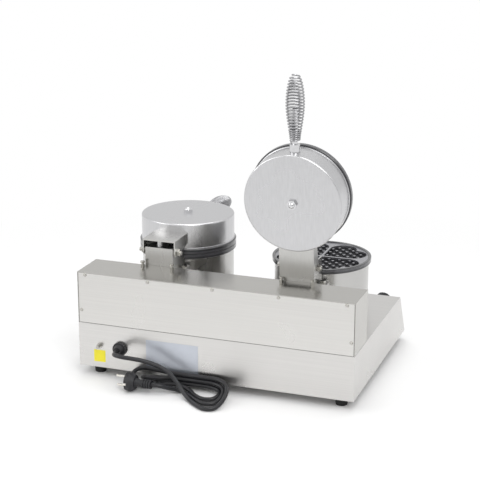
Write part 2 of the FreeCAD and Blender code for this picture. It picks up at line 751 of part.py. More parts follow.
posts = []
bracket_bolts = []
insulation = []
for side, centre in HEADS.items():
    drum = turned([("drum_radius", "0"), ("drum_radius", "drum_height"),
                   ("drum_radius - drum_sheet", "drum_height"), ("drum_radius - drum_sheet", "drum_sheet"),
                   ("drum_radius - drum_flange", "drum_sheet"), ("drum_radius - drum_flange", "0")])
    node("drum_" + side, put(drum, centre, "head_y", "deck_z"))
    node("lower_plate_" + side, put(baking_plate(1, "spigot_radius"), centre, "head_y", "parting_z"))
    element = turned([("heater_bore_radius", "0"), ("heater_radius", "0"),
                      ("heater_radius", "heater_height"), ("heater_bore_radius", "heater_height")])
    node("lower_heater_" + side, put(element, centre, "head_y", "parting_z - plate_depth - heater_height"))
    wool_height = "drum_height - drum_sheet - spigot_depth - heater_height"
    wool = turned([("heater_bore_radius", "0"), ("spigot_radius - insulation_clearance", "0"),
                   ("spigot_radius - insulation_clearance", wool_height),
                   ("heater_bore_radius", wool_height)])
    insulation.append(put(wool, centre, "head_y", "deck_z + drum_sheet"))

    post_height = "bracket_foot_z - deck_z"
    post = box("0", "0 - post_front", "deck_z", "2 * post_half_width", "post_front - post_back", post_height)
    hollow = box("0", "0 - post_front - 1", "deck_z - 1",
                 "2 * post_half_width - 2 * bracket_sheet", "post_front - post_back + 2",
                 post_height + " + 1 - bracket_sheet")
    apron = box("0", "0 - post_front", "deck_z", "2 * (post_half_width + post_flange)",
                "post_front - post_back", "bracket_sheet")
    bolt_lines = ["(%s) + (%s)" % (centre, spread) for spread in (
        "bracket_half_width + bracket_flange / 2", "0 - bracket_half_width - bracket_flange / 2")]
    foot_lines = ["(%s) + (%s)" % (centre, spread) for spread in (
        "post_half_width + post_flange / 2", "0 - post_half_width - post_flange / 2")]
    bolt_y = "pivot_y - bracket_bolt_forward"
    foot_y = "pivot_y - (post_front + post_back) / 2"
    placed_post = put(fuse(cut(post, hollow), cut(apron, box(
        "0", "0 - post_front - 1", "deck_z - 1", "2 * post_half_width - 2 * bracket_sheet",
        "post_front - post_back + 2", "bracket_sheet + 2"))), centre, "pivot_y")
    posts.append(cut(
        placed_post,
        *[cylinder("bolt_radius + screw_clearance", "6 * bracket_sheet", x, bolt_y,
                   "bracket_foot_z - 3 * bracket_sheet") for x in bolt_lines],
        *[cylinder("bolt_radius + screw_clearance", "4 * bracket_sheet", x, foot_y,
                   "deck_z - 2 * bracket_sheet") for x in foot_lines]))
    bracket_bolts += [bolt(x, bolt_y, "bracket_foot_z + bracket_sheet", "4 * bracket_sheet")
                      for x in bolt_lines]
    bracket_bolts += [bolt(x, foot_y, "deck_z + bracket_sheet", "4 * bracket_sheet") for x in foot_lines]

    # Fixed bracket: two cheeks and a back, with a foot flange each side
    cheek_depth = "bracket_front + bracket_back"
    cheek_height = "bracket_drop + bracket_top"
    channel = box("0", "0 - bracket_front", "0 - bracket_drop", "2 * bracket_half_width", cheek_depth,
                  cheek_height)
    channel_space = box("0", "0 - bracket_front - 1", "0 - bracket_drop - 1",
                        "2 * bracket_half_width - 2 * bracket_sheet",
                        cheek_depth + " + 1 - bracket_sheet", cheek_height + " + 2")
    flange = box("0", "0 - bracket_front", "0 - bracket_drop",
                 "2 * (bracket_half_width + bracket_flange)", "post_front - post_back", "bracket_sheet")
    flange_gap = box("0", "0 - bracket_front - 1", "0 - bracket_drop - 1",
                     "2 * bracket_half_width - 2 * bracket_sheet", cheek_depth, "bracket_sheet + 2")
    pin_hole = cylinder("pin_radius + pin_fit", "4 * bracket_half_width", "0 - 2 * bracket_half_width",
                        "0", "0", Y_AXIS, "90")
    flange_holes = [cylinder("bolt_radius + screw_clearance", "4 * bracket_sheet", x,
                             "0 - bracket_bolt_forward", "0 - bracket_drop - bracket_sheet")
                    for x in ("bracket_half_width + bracket_flange / 2",
                              "0 - bracket_half_width - bracket_flange / 2")]
    bracket = cut(fuse(cut(channel, channel_space), cut(flange, flange_gap)), pin_hole, *flange_holes)
    node("hinge_bracket_" + side, put(bracket, centre, "pivot_y", "pivot_z"))

    # Hinge bolt with its head, nut and two spacer washers
    head_x = "arm_half_width + side_gap"
    shank = cylinder("pin_radius", "pin_reach + pin_nut_reach", "0 - pin_reach", "0", "0", Y_AXIS, "90")
    head = hexagon("nut_flats", "nut_height", "0 - arm_half_width - side_gap - nut_height", "0", "0",
                   Y_AXIS, "90")
    nut = cut(hexagon("nut_flats", "nut_height", head_x, "0", "0", Y_AXIS, "90"),
              cylinder("pin_radius + pin_fit", "3 * nut_height", "arm_half_width", "0", "0", Y_AXIS, "90"))
    washer_width = "arm_half_width - arm_sheet - side_gap - bracket_half_width"
    washers = []
    for start in ("bracket_half_width", "0 - arm_half_width + arm_sheet + side_gap"):
        disc = cylinder("washer_radius", washer_width, start, "0", "0", Y_AXIS, "90")
        bore = cylinder("pin_radius + pin_fit", washer_width + " + 2", "(%s) - 1" % start, "0", "0",
                        Y_AXIS, "90")
        washers.append(cut(disc, bore))
    node("hinge_bolt_" + side, put(group(fuse(shank, head), nut, *washers), centre, "pivot_y", "pivot_z"))

node("hinge_posts", group(*posts))
node("bracket_bolts", group(*bracket_bolts))
node("lower_insulation", group(*insulation))

# Screws on the housing's top that hold the open lids
stop_solids = []
for x, y in stops:
    rod = cylinder("stop_radius", "stop_top_z - housing_top_z + stop_screw_grip",
                   z="housing_top_z - stop_screw_grip - stop_top_z")
    cap = cylinder("stop_head_radius", "stop_head_height", z="0 - stop_head_height")
    lock_nut = hexagon("stop_nut_flats", "stop_nut_height", z="housing_top_z - stop_top_z")
    stop_solids.append(put(fuse(rod, cap, lock_nut), x, y, "stop_top_z"))
node("stop_screws", group(*stop_solids))

# Lids: everything here is modelled round the lid's own axis, with z = 0 at the hinge's height

# Where a spring handle starts on the cover, and the turn of its own axis
HANDLE_SPOT = ("0", "0 - cover_radius", "handle_rise", X_AXIS, "90 + handle_tilt")


def biarc(start, start_way, end, end_way):
    """Return the two tangent arcs that join two points with given directions."""
    gap = end - start
    ways = start_way + end_way
    slope = gap.dot(ways)
    bend = 2 * (1 - start_way.dot(end_way))
    if bend < 1e-9:
        reach = gap.dot(gap) / (4 * gap.dot(start_way))
    else:
        reach = (math.sqrt(slope ** 2 + bend * gap.dot(gap)) - slope) / bend
    joint = (start + end + (start_way - end_way) * reach) * 0.5
    return [tangent_arc(start, start_way, joint), tangent_arc(end, end_way * -1, joint, True)]


def tangent_arc(start, way, end, backwards=False):
    """Return the arc that leaves a point in a direction and ends at another, or runs back from it."""
    chord = end - start
    side = way - chord * (way.dot(chord) / chord.dot(chord))
    ends = (end, start) if backwards else (start, end)
    if side.Length < 1e-7:
        return Part.LineSegment(*ends).toShape()
    sagitta = chord.Length / 2 * math.tan(chord.getAngle(way) / 2)
    middle = (start + end) * 0.5 + side.normalize() * sagitta
    return Part.Arc(ends[0], middle, ends[1]).toShape()


def run_tube(wire, radius, start, way):
    """Return a round tube of a radius along a wire."""
    ring_edge = Part.Circle(start, way, radius).toShape()
    return wire.makePipeShell([Part.Wire([ring_edge])], True, False)


def spring():
    """Return a handle's wire and its path: curls that swell to a belly and draw in again to the tip."""
    wire = worth("wire_diameter")
    belly = worth("coil_belly_share")
    neck_radius = worth("coil_neck_radius")
    belly_radius = worth("coil_belly_radius")
    tip_radius = worth("coil_tip_radius")
    tight_curls = int(worth("tight_curls"))
    curls = tight_curls + int(worth("open_curls"))
    base = worth("ferrule_length + coil_lead")
    rise = worth("ferrule_length + coil_length") - wire / 2 - base
    tight_pitch = worth("tight_pitch")
    open_pitch = (rise - tight_curls * tight_pitch) / (curls - tight_curls)

    def spot(quarter):
        curl = quarter / 4
        share = curl / curls
        if share < belly:
            swell = 0.5 - 0.5 * math.cos(math.pi * share / belly)
            radius = neck_radius + (belly_radius - neck_radius) * swell
        else:
            fall = math.cos(math.pi / 2 * min(1, (share - belly) / (1 - belly)))
            radius = tip_radius + (belly_radius - tip_radius) * math.sqrt(max(0, fall))
        height = base + tight_pitch * min(curl, tight_curls) + open_pitch * max(0, curl - tight_curls)
        angle = math.radians(90 * quarter)
        return Vector(radius * math.cos(angle), radius * math.sin(angle), height)

    start = Vector(worth("wire_start_radius"), 0, worth("ferrule_length"))
    points = [start, start + Z_AXIS * wire]
    ways = [Z_AXIS, Z_AXIS]
    for quarter in [0.5] + list(range(1, 4 * curls + 1)):
        points.append(spot(quarter))
        ways.append((spot(quarter + 0.01) - spot(quarter - 0.01)).normalize())
    edges = [Part.LineSegment(points[0], points[1]).toShape()]
    for first in range(1, len(points) - 1):
        edges += biarc(points[first], ways[first], points[first + 1], ways[first + 1])
    edges.append(Part.LineSegment(points[-1], points[-1] + ways[-1] * wire).toShape())
    path = Part.Wire(edges)
    return run_tube(path, wire / 2, points[0], ways[0]), path


def least_gap(path, diameter):
    """Return the least gap between stretches of a tube that aren't neighbours along it."""
    count = int(path.Length / diameter * 2)
    spots = path.discretize(count)
    step = path.Length / (count - 1)
    skip = int(3 * diameter / step) + 1
    nearest = min(spots[i].distanceToPoint(spots[j]) for i in range(count) for j in range(i + skip, count)
                  if abs(spots[i].z - spots[j].z) < 3 * diameter)
    return nearest - diameter


coil, coil_path = spring()
print("spring valid", coil.isValid(), "volume", coil.Volume,
      "section x length", math.pi * worth("wire_diameter") ** 2 / 4 * coil_path.Length,
      "least gap", least_gap(coil_path, worth("wire_diameter")))

for side in HEADS:
    # Cover: a spun cap with a small lip, open below
    cap = turned([("0", "cover_top"), ("cover_radius", "cover_top"), ("cover_radius", "cover_bottom"),
                  ("cover_radius - cover_sheet", "cover_bottom"),
                  ("cover_radius - cover_sheet", "cover_top - cover_sheet"),
                  ("0", "cover_top - cover_sheet")])
    cap = rounded(cap, "cover_corner", circle_at("cover_radius", "cover_top"))
    lip = turned([("cover_radius", "cover_bottom"), ("cover_radius + cover_lip", "cover_bottom"),
                  ("cover_radius + cover_lip", "cover_bottom + cover_lip_height - cover_lip / 2"),
                  ("cover_radius", "cover_bottom + cover_lip_height")])
    grip_hole = put(group(cylinder("grip_rod_radius + screw_clearance", "8 * cover_sheet",
                                   z="0 - 4 * cover_sheet")), *HANDLE_SPOT)
    stud_hole = cylinder("cover_stud_radius + screw_clearance", "4 * cover_sheet", "0", "0",
                         "cover_top - 2 * cover_sheet")
    node("lid_cover_" + side, lidded(cut(fuse(cap, lip), grip_hole, stud_hole), side))

    node("upper_plate_" + side, lidded(group(put(
        baking_plate(-1, "lid_spigot_radius"), "0", "0", "lid_parting")), side))
    upper_element = turned([
        ("heater_bore_radius", "lid_parting + plate_depth"), ("heater_radius", "lid_parting + plate_depth"),
        ("heater_radius", "lid_parting + plate_depth + heater_height"),
        ("heater_bore_radius", "lid_parting + plate_depth + heater_height")])
    node("upper_heater_" + side, lidded(upper_element, side))
    wool_bottom = "lid_parting + plate_depth + heater_height"
    upper_wool = turned([
        ("heater_bore_radius", wool_bottom), ("lid_spigot_radius - cover_corner", wool_bottom),
        ("lid_spigot_radius - cover_corner", "cover_top - cover_sheet - insulation_clearance"),
        ("heater_bore_radius", "cover_top - cover_sheet - insulation_clearance")])
    root_room = cylinder("root_room_radius", "root_room_depth", z="0 - root_room_depth")
    node("upper_insulation_" + side, lidded(cut(
        group(upper_wool), put(group(root_room), *HANDLE_SPOT)), side))
    dome = doc.addObject("Part::Sphere", "Dome")
    bind(dome, {"Radius": "cover_dome_radius"})
    put(dome, "0", "0", "cover_top + cover_nut_height - cover_dome_sink")
    below = box("0", "0 - 2 * cover_dome_radius", "cover_top - 2 * cover_dome_radius",
                "4 * cover_dome_radius", "4 * cover_dome_radius", "2 * cover_dome_radius")
    centre_stud = cylinder("cover_stud_radius", "cover_top - lid_parting - plate_depth", "0", "0",
                           "lid_parting + plate_depth")
    node("cover_nut_" + side, lidded(fuse(
        cut(dome, below), hexagon("cover_nut_flats", "cover_nut_height", "0", "0", "cover_top"),
        centre_stud), side))

    # Hinge arm: a channel, open below and behind, with its front cut to the cover's round
    arm_back = "pivot_reach + arm_tail"
    front_y = "pivot_reach - bracket_front - arm_front_reach"
    arm = prism("YZ_Plane", [
        (front_y, "arm_top"), (arm_back, "arm_top"), (arm_back, "0 - arm_tail_drop"),
        (front_y, "arm_front_rise")], "2 * arm_half_width")
    tail_y = worth(arm_back)
    tail_z = worth("0 - arm_tail_drop")
    arm = rounded(arm, "arm_corner", lambda edge: (
        abs(edge.CenterOfMass.y - tail_y) < 1e-3 and abs(edge.CenterOfMass.z - tail_z) < 1e-3))
    arm_space = box("0", "0", "0 - 2 * arm_top", "2 * arm_half_width - 2 * arm_sheet",
                    "2 * pivot_reach", "3 * arm_top - arm_sheet")
    cover_round = cylinder("cover_radius + weld_gap", "4 * arm_top", z="0 - 2 * arm_top")
    pin_way = cylinder("pin_radius + pin_fit", "4 * arm_half_width", "0 - 2 * arm_half_width",
                       "pivot_reach", "0", Y_AXIS, "90")
    node("hinge_arm_" + side, lidded(cut(arm, arm_space, cover_round, pin_way), side))

    # Spring handle: a rod and ferrule screwed to the cover, with the coiled grip round them
    rod = cylinder("grip_rod_radius", "grip_rod_length + 3 * nut_height", z="0 - 3 * nut_height")
    root_nut = hexagon("nut_flats", "nut_height", z="0 - cover_sheet - nut_height - root_nut_gap")
    ferrule = group(cylinder("ferrule_radius", "ferrule_length + cover_corner", z="0 - cover_corner"))
    seated = cut(put(ferrule, *HANDLE_SPOT),
                 cylinder("cover_radius + weld_gap", "2 * cover_height", z="cover_bottom"))
    clear_of_cover = fuse(put(fuse(rod, root_nut), *HANDLE_SPOT), seated)
    node("handle_rod_" + side, lidded(clear_of_cover, side))
    spring_grip = doc.addObject("Part::Feature", "Coil")
    spring_grip.Shape = coil.copy()
    put(spring_grip, *HANDLE_SPOT)
    node("handle_spring_" + side, lidded(group(spring_grip), side))

# Controls: bodies behind the sloping panel, knobs, rockers and lamps on it
thermostats = []
timers = []
frames = []
lamps = []
for side, centre in HEADS.items():
    for name, spot, depth, bodies in (
            ("thermostat", OUTER_CONTROLS[side], "thermostat_depth", thermostats),
            ("timer", INNER_CONTROLS[side], "timer_depth", timers)):
        case = box("0", "0 - control_width / 2", "0 - shell_sheet - (%s)" % depth, "control_width",
                   "control_width", depth)
        neck = cylinder("spindle_radius + spindle_fit", "spindle_length + 2",
                        z="0 - shell_sheet - spindle_length")
        bodies.append(on_panel(cut(case, neck), spot))
        skirt = cone("knob_radius", "knob_radius - knob_edge", "knob_skirt_height", z="knob_gap")
        grip = cone("knob_grip_radius", "knob_grip_radius - knob_edge", "knob_height - knob_gap",
                    z="knob_gap")
        spindle = cylinder("spindle_radius", "spindle_length + shell_sheet",
                           z="1 - spindle_length - shell_sheet")
        node("%s_knob_%s" % (name, side), on_panel(fuse(skirt, grip, spindle), spot))

    half_long = "(rocker_radius + rocker_gap + frame_wall)"
    half_wide = "(rocker_width / 2 + rocker_gap + frame_wall)"
    case = box("0", "0 - " + half_long, "0 - frame_depth", "2 * " + half_wide, "2 * " + half_long,
               "frame_depth")
    rim = box("0", "0 - %s - frame_lip" % half_long, "0", "2 * %s + 2 * frame_lip" % half_wide,
              "2 * %s + 2 * frame_lip" % half_long, "frame_lip_height")
    well = cylinder("rocker_radius + rocker_gap", "rocker_width + 2 * rocker_gap",
                    "0 - rocker_width / 2 - rocker_gap", "0", "rocker_rise", Y_AXIS, "90")
    mouth = box("0", "0 - rocker_radius - rocker_gap", "rocker_rise", "rocker_width + 2 * rocker_gap",
                "2 * rocker_radius + 2 * rocker_gap", "frame_lip_height + 2")
    pin_seat = cylinder("rocker_pin_radius + spindle_fit", "rocker_width + 2 * frame_wall",
                        "0 - rocker_width / 2 - frame_wall", "0", "rocker_rise", Y_AXIS, "90")
    frames.append(on_panel(cut(fuse(case, rim), well, mouth, pin_seat), centre))

    button = cylinder("rocker_radius", "rocker_width", "0 - rocker_width / 2", "0", "0", Y_AXIS, "90")
    dish = prism("YZ_Plane", [
        ("0", "rocker_dish"), ("2 * rocker_radius", "rocker_dish + 2 * rocker_radius * tan(rocker_angle)"),
        ("2 * rocker_radius", "3 * rocker_radius"), ("0 - 2 * rocker_radius", "3 * rocker_radius"),
        ("0 - 2 * rocker_radius", "rocker_dish + 2 * rocker_radius * tan(rocker_angle)")],
        "2 * rocker_width")
    pins = cylinder("rocker_pin_radius", "rocker_width + 2 * rocker_gap + frame_wall",
                    "0 - rocker_width / 2 - rocker_gap - frame_wall / 2", "0", "0", Y_AXIS, "90")
    rocker = fuse(cut(button, dish), pins)
    node("rocker_" + side, put(
        rocker, centre, "control_y - rocker_rise * cos(lean)", "control_z + rocker_rise * sin(lean)",
        X_AXIS, "90 - lean / 1deg - rocker_angle"))

    for offset in ("lamp_spread", "0 - lamp_spread"):
        bezel = cylinder("lamp_bezel_radius", "lamp_bezel_height")
        lens = cone("lamp_radius", "lamp_tip_radius", "lamp_lens_height")
        barrel = cylinder("lamp_radius", "lamp_body_length", z="0 - lamp_body_length")
        lamps.append(on_panel(fuse(bezel, lens, barrel), "(%s) + (%s)" % (centre, offset)))
node("thermostats", group(*thermostats))
node("timers", group(*timers))
node("switch_frames", group(*frames))
node("pilot_lamps", group(*lamps))

# Cord: its free lead, its folded hank and its tail to the plug. Points are relative to the foot of the
# rear face: x across, y away from the machine, z above the floor.

FLOOR = worth("cord_diameter / 2 + floor_lift")
LEAD_START = (worth("gland_x"), worth("gland_reach"), worth(gland_height))
LEAD = [LEAD_START, (LEAD_START[0], LEAD_START[1] + worth("cord_straight"), LEAD_START[2]),
        (184, 43, 67), (167, 47, 67), (149, 43, 65), (130, 37, 61.5),
        (111, 32, 56), (93, 29, 49), (76, 29.5, 40), (60, 35.5, 27.5), (43, 46, 13.5)]
HANK_START = [(24, 60, FLOOR)]
OUTER_TURN = [(88, 8, 32), (112, 7.5, 34), (136, 7, 36), (154, 11, 31), (161, 20, 19), (153, 26, 8),
              (133, 26, 5.5), (110, 21, 8.5), (86, 17, 12.5), (62, 17.5, 13.5), (39, 19, 7)]
INNER_TURN = [(78, 7.5, 12.6), (98, -1, 8.5), (119, -10, 6.5), (138, -5, 8.5), (144, 9, 15),
              (130, 21, 20.5), (106, 20, 22.2), (82, 10, 22.6)]
TAIL_END = (worth("plug_face_x - plug_head_length - plug_neck_length"), worth("plug_y"),
            worth("plug_radius + plug_floor_gap"))
TAIL = [(38, 34, FLOOR), (59, 22, FLOOR + 0.6), (79, 36, 12),
        (TAIL_END[0] - worth("cord_straight"), TAIL_END[1], TAIL_END[2]), TAIL_END]
# The three right-hand folds, which lie in each other: reach along x, bulge along y, height of the back run
FOLD_REACH = {"outer": -43, "middle": -33, "inner": -23}
FOLD_BULGE = {"outer": 90, "middle": 68, "inner": 48}
FOLD_HEIGHT = {"outer": 31.5, "middle": 22.4, "inner": 13.3}
WAIST_X = 60


def fold(name):
    """Return the points of one right-hand fold, from its front run on the floor to its back run."""
    x = FOLD_REACH[name]
    y = FOLD_BULGE[name]
    z = FOLD_HEIGHT[name]
    climb = z - FLOOR
    return [(x + 49, y - 14, FLOOR), (x + 26, y * 1.02, FLOOR), (x + 5, y * 0.92, FLOOR + 0.5),
            (x - 1, y * 0.56, FLOOR + climb * 0.35), (x + 3, y * 0.22 + 2, FLOOR + climb * 0.8),
            (x + 26, 7.5, z + 0.3), (x + 60, 7.8, z), (WAIST_X, 8.2, z)]


def laid(points):
    """Return points of the cord in the machine's own frame."""
    return [Vector(x, y + worth("rear_face_y"), z) for x, y, z in points]


# How much of a run beside a corner its arc takes
ARC_SHARE = 0.45


def half_way(start, end):
    """Return the middle of a run."""
    return (start + end) * 0.5


def route_path(points):
    """Return a wire of straight runs joined by tangent arcs, and the arcs' least radius."""
    edges = []
    radii = []
    start = points[0]
    for before, corner, after in zip(points, points[1:], points[2:]):
        back = (before - corner).normalize()
        ahead = (after - corner).normalize()
        half_turn = (math.pi - back.getAngle(ahead)) / 2
        setback = ARC_SHARE * min(corner.distanceToPoint(before), corner.distanceToPoint(after))
        radius = setback / math.tan(half_turn)
        first = corner + back * setback
        last = corner + ahead * setback
        inner = (back + ahead).normalize()
        middle = corner + inner * (radius / math.cos(half_turn) - radius)
        edges += [Part.LineSegment(start, first).toShape(), Part.Arc(first, middle, last).toShape()]
        radii.append(radius)
        start = last
    edges.append(Part.LineSegment(start, points[-1]).toShape())
    return Part.Wire(edges), min(radii)


def hank_path(start, points, end):
    """Return a wire of biarcs that touches the middle of every run between the points."""
    wire = worth("cord_diameter")
    begin_way = (points[0] - start).normalize()
    end_way = (end - points[-1]).normalize()
    spots = [start + begin_way * wire]
    ways = [begin_way]
    for first, second in zip(points, points[1:]):
        spots.append(half_way(first, second))
        ways.append((second - first).normalize())
    spots.append(end - end_way * wire)
    ways.append(end_way)
    edges = [Part.LineSegment(start, spots[0]).toShape()]
    for index in range(len(spots) - 1):
        edges += biarc(spots[index], ways[index], spots[index + 1], ways[index + 1])
    edges.append(Part.LineSegment(spots[-1], end).toShape())
    return Part.Wire(edges)


def cord_tube(name, path, way):
    """Make a node of a stretch of cord along its path and print what it measures."""
    radius = worth("cord_diameter / 2")
    item = doc.addObject("Part::Feature", "Cord")
    item.Shape = run_tube(path, radius, path.OrderedVertexes[0].Point, way)
    print(name, "length", round(path.Length, 1), "volume over section times length",
          round(item.Shape.Volume / (math.pi * radius ** 2 * path.Length), 4))
    return node(name, item)


lead = laid(LEAD)
hank = laid(HANK_START + fold("outer") + OUTER_TURN + fold("inner") + INNER_TURN + fold("middle")[::-1])
tail = laid(TAIL)
lead_end = half_way(lead[-1], hank[0])
tail_start = half_way(hank[-1], tail[0])
lead_path, lead_radius = route_path(lead + [lead_end])
tail_path, tail_radius = route_path([tail_start] + tail)
folded_path = hank_path(lead_end, hank, tail_start)
arc_radii = [edge.Curve.Radius for edge in folded_path.Edges if isinstance(edge.Curve, Part.Circle)]
print("cord radii: lead", round(lead_radius, 1), "tail", round(tail_radius, 1),
      "hank", round(min(arc_radii), 1), "hank's least gap",
      round(least_gap(folded_path, worth("cord_diameter")), 2))
cord_tube("cord_lead", lead_path, lead[1] - lead[0])
cord_tube("cord_hank", folded_path, hank[0] - lead_end)
cord_tube("cord_tail", tail_path, tail[0] - tail_start)

# Plug, lying on the floor with its pins one above the other
plug_z = "plug_radius + plug_floor_gap"
TOWARDS_RIGHT = (Y_AXIS, "90")


def on_plug(item):
    """Place an object with z = 0 at the plug's face and its pins' way along +X."""
    return put(item, "plug_face_x", "rear_face_y + plug_y", plug_z, *TOWARDS_RIGHT)


plug_head = cone("plug_radius", "plug_radius - plug_bevel", "plug_head_length / 2",
                 z="0 - plug_head_length / 2")
plug_back = cone("plug_back_radius", "plug_radius", "plug_head_length / 2", z="0 - plug_head_length")
neck = cone("relief_radius", "plug_neck_radius", "plug_neck_length - relief_length",
            z="0 - plug_head_length - plug_neck_length + relief_length")
relief = cylinder("relief_radius", "relief_length", z="0 - plug_head_length - plug_neck_length")
ribs = [cylinder("plug_neck_radius", "relief_rib_width",
                 z="0 - plug_head_length - plug_neck_length + (relief_length - relief_rib_width) / 4 * %d"
                 % step) for step in range(4)]
seats = [cylinder("plug_pin_root_radius", "plug_head_length", x, "0", "0 - plug_head_length / 2")
         for x in ("plug_pin_spread", "0 - plug_pin_spread")]
clip_seats = [box("0", y, "0 - earth_clip_length / 2", "earth_clip_width", "earth_clip_sheet * 2",
                  "earth_clip_length") for y in ("plug_radius - plug_bevel - earth_clip_sheet",
                                                 "plug_bevel - plug_radius - earth_clip_sheet")]
node("plug_body", on_plug(cut(fuse(plug_head, plug_back, neck, relief, *ribs), *seats, *clip_seats)))
pins = [fuse(cylinder("plug_pin_root_radius", "plug_head_length / 2 + plug_pin_radius", x, "0",
                      "0 - plug_head_length / 2"),
             cylinder("plug_pin_radius", "plug_pin_length", x),
             cone("plug_pin_radius", "plug_pin_radius / 2", "plug_pin_radius", x, "0", "plug_pin_length"))
        for x in ("plug_pin_spread", "0 - plug_pin_spread")]
node("plug_pins", on_plug(group(*pins)))
clips = [box("0", y, "0 - earth_clip_length / 2", "earth_clip_width", "earth_clip_sheet",
             "earth_clip_length / 2")
         for y in ("plug_radius - plug_bevel - earth_clip_sheet", "plug_bevel - plug_radius")]
node("plug_earth_clips", on_plug(group(*clips)))

# Every object is checked before anything is written
doc.recompute()
for item in doc.Objects:
    if "Invalid" in item.State or "Error" in item.State:
        raise RuntimeError("%s (%s) failed: %s" % (item.Name, item.Label, item.getStatusString()))
for name, item in nodes.items():
    if item.Shape.isNull() or not item.Shape.isValid() or not item.Shape.Solids:
        raise RuntimeError("%s has no valid solid" % name)
os.makedirs("parts", exist_ok=True)
for name, item in nodes.items():
    item.Shape.exportStep(os.path.join("parts", name + ".step"))
print(len(nodes), "nodes written")
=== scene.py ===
"""Looks of a twin heart waffle iron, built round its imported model."""

import logging
import math
from dataclasses import dataclass, field
from enum import Enum

import bmesh
import bpy
from mathutils import Matrix, Vector


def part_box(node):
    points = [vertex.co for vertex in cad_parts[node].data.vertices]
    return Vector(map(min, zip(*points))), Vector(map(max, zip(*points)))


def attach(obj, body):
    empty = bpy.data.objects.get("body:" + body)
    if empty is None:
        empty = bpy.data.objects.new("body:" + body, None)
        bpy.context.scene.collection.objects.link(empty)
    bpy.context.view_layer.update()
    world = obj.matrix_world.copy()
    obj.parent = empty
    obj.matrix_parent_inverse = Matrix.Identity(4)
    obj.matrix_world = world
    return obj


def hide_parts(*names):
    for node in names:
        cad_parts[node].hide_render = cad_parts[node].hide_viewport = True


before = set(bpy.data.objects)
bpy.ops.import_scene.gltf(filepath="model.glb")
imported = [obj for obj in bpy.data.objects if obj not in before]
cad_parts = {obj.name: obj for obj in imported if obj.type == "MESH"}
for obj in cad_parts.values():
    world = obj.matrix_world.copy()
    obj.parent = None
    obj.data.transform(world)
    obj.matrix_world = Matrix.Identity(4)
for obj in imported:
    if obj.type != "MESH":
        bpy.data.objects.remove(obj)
log = logging.getLogger("waffle_iron")

Triple = tuple[float, float, float]
SIDES = ("right", "left")


class Grain(Enum):
    """The way in which a sheet is brushed."""

    ALONG_WIDTH = (3.0, 380.0, 380.0)
    UPRIGHT = (380.0, 380.0, 3.0)
    NONE = (160.0, 160.0, 160.0)


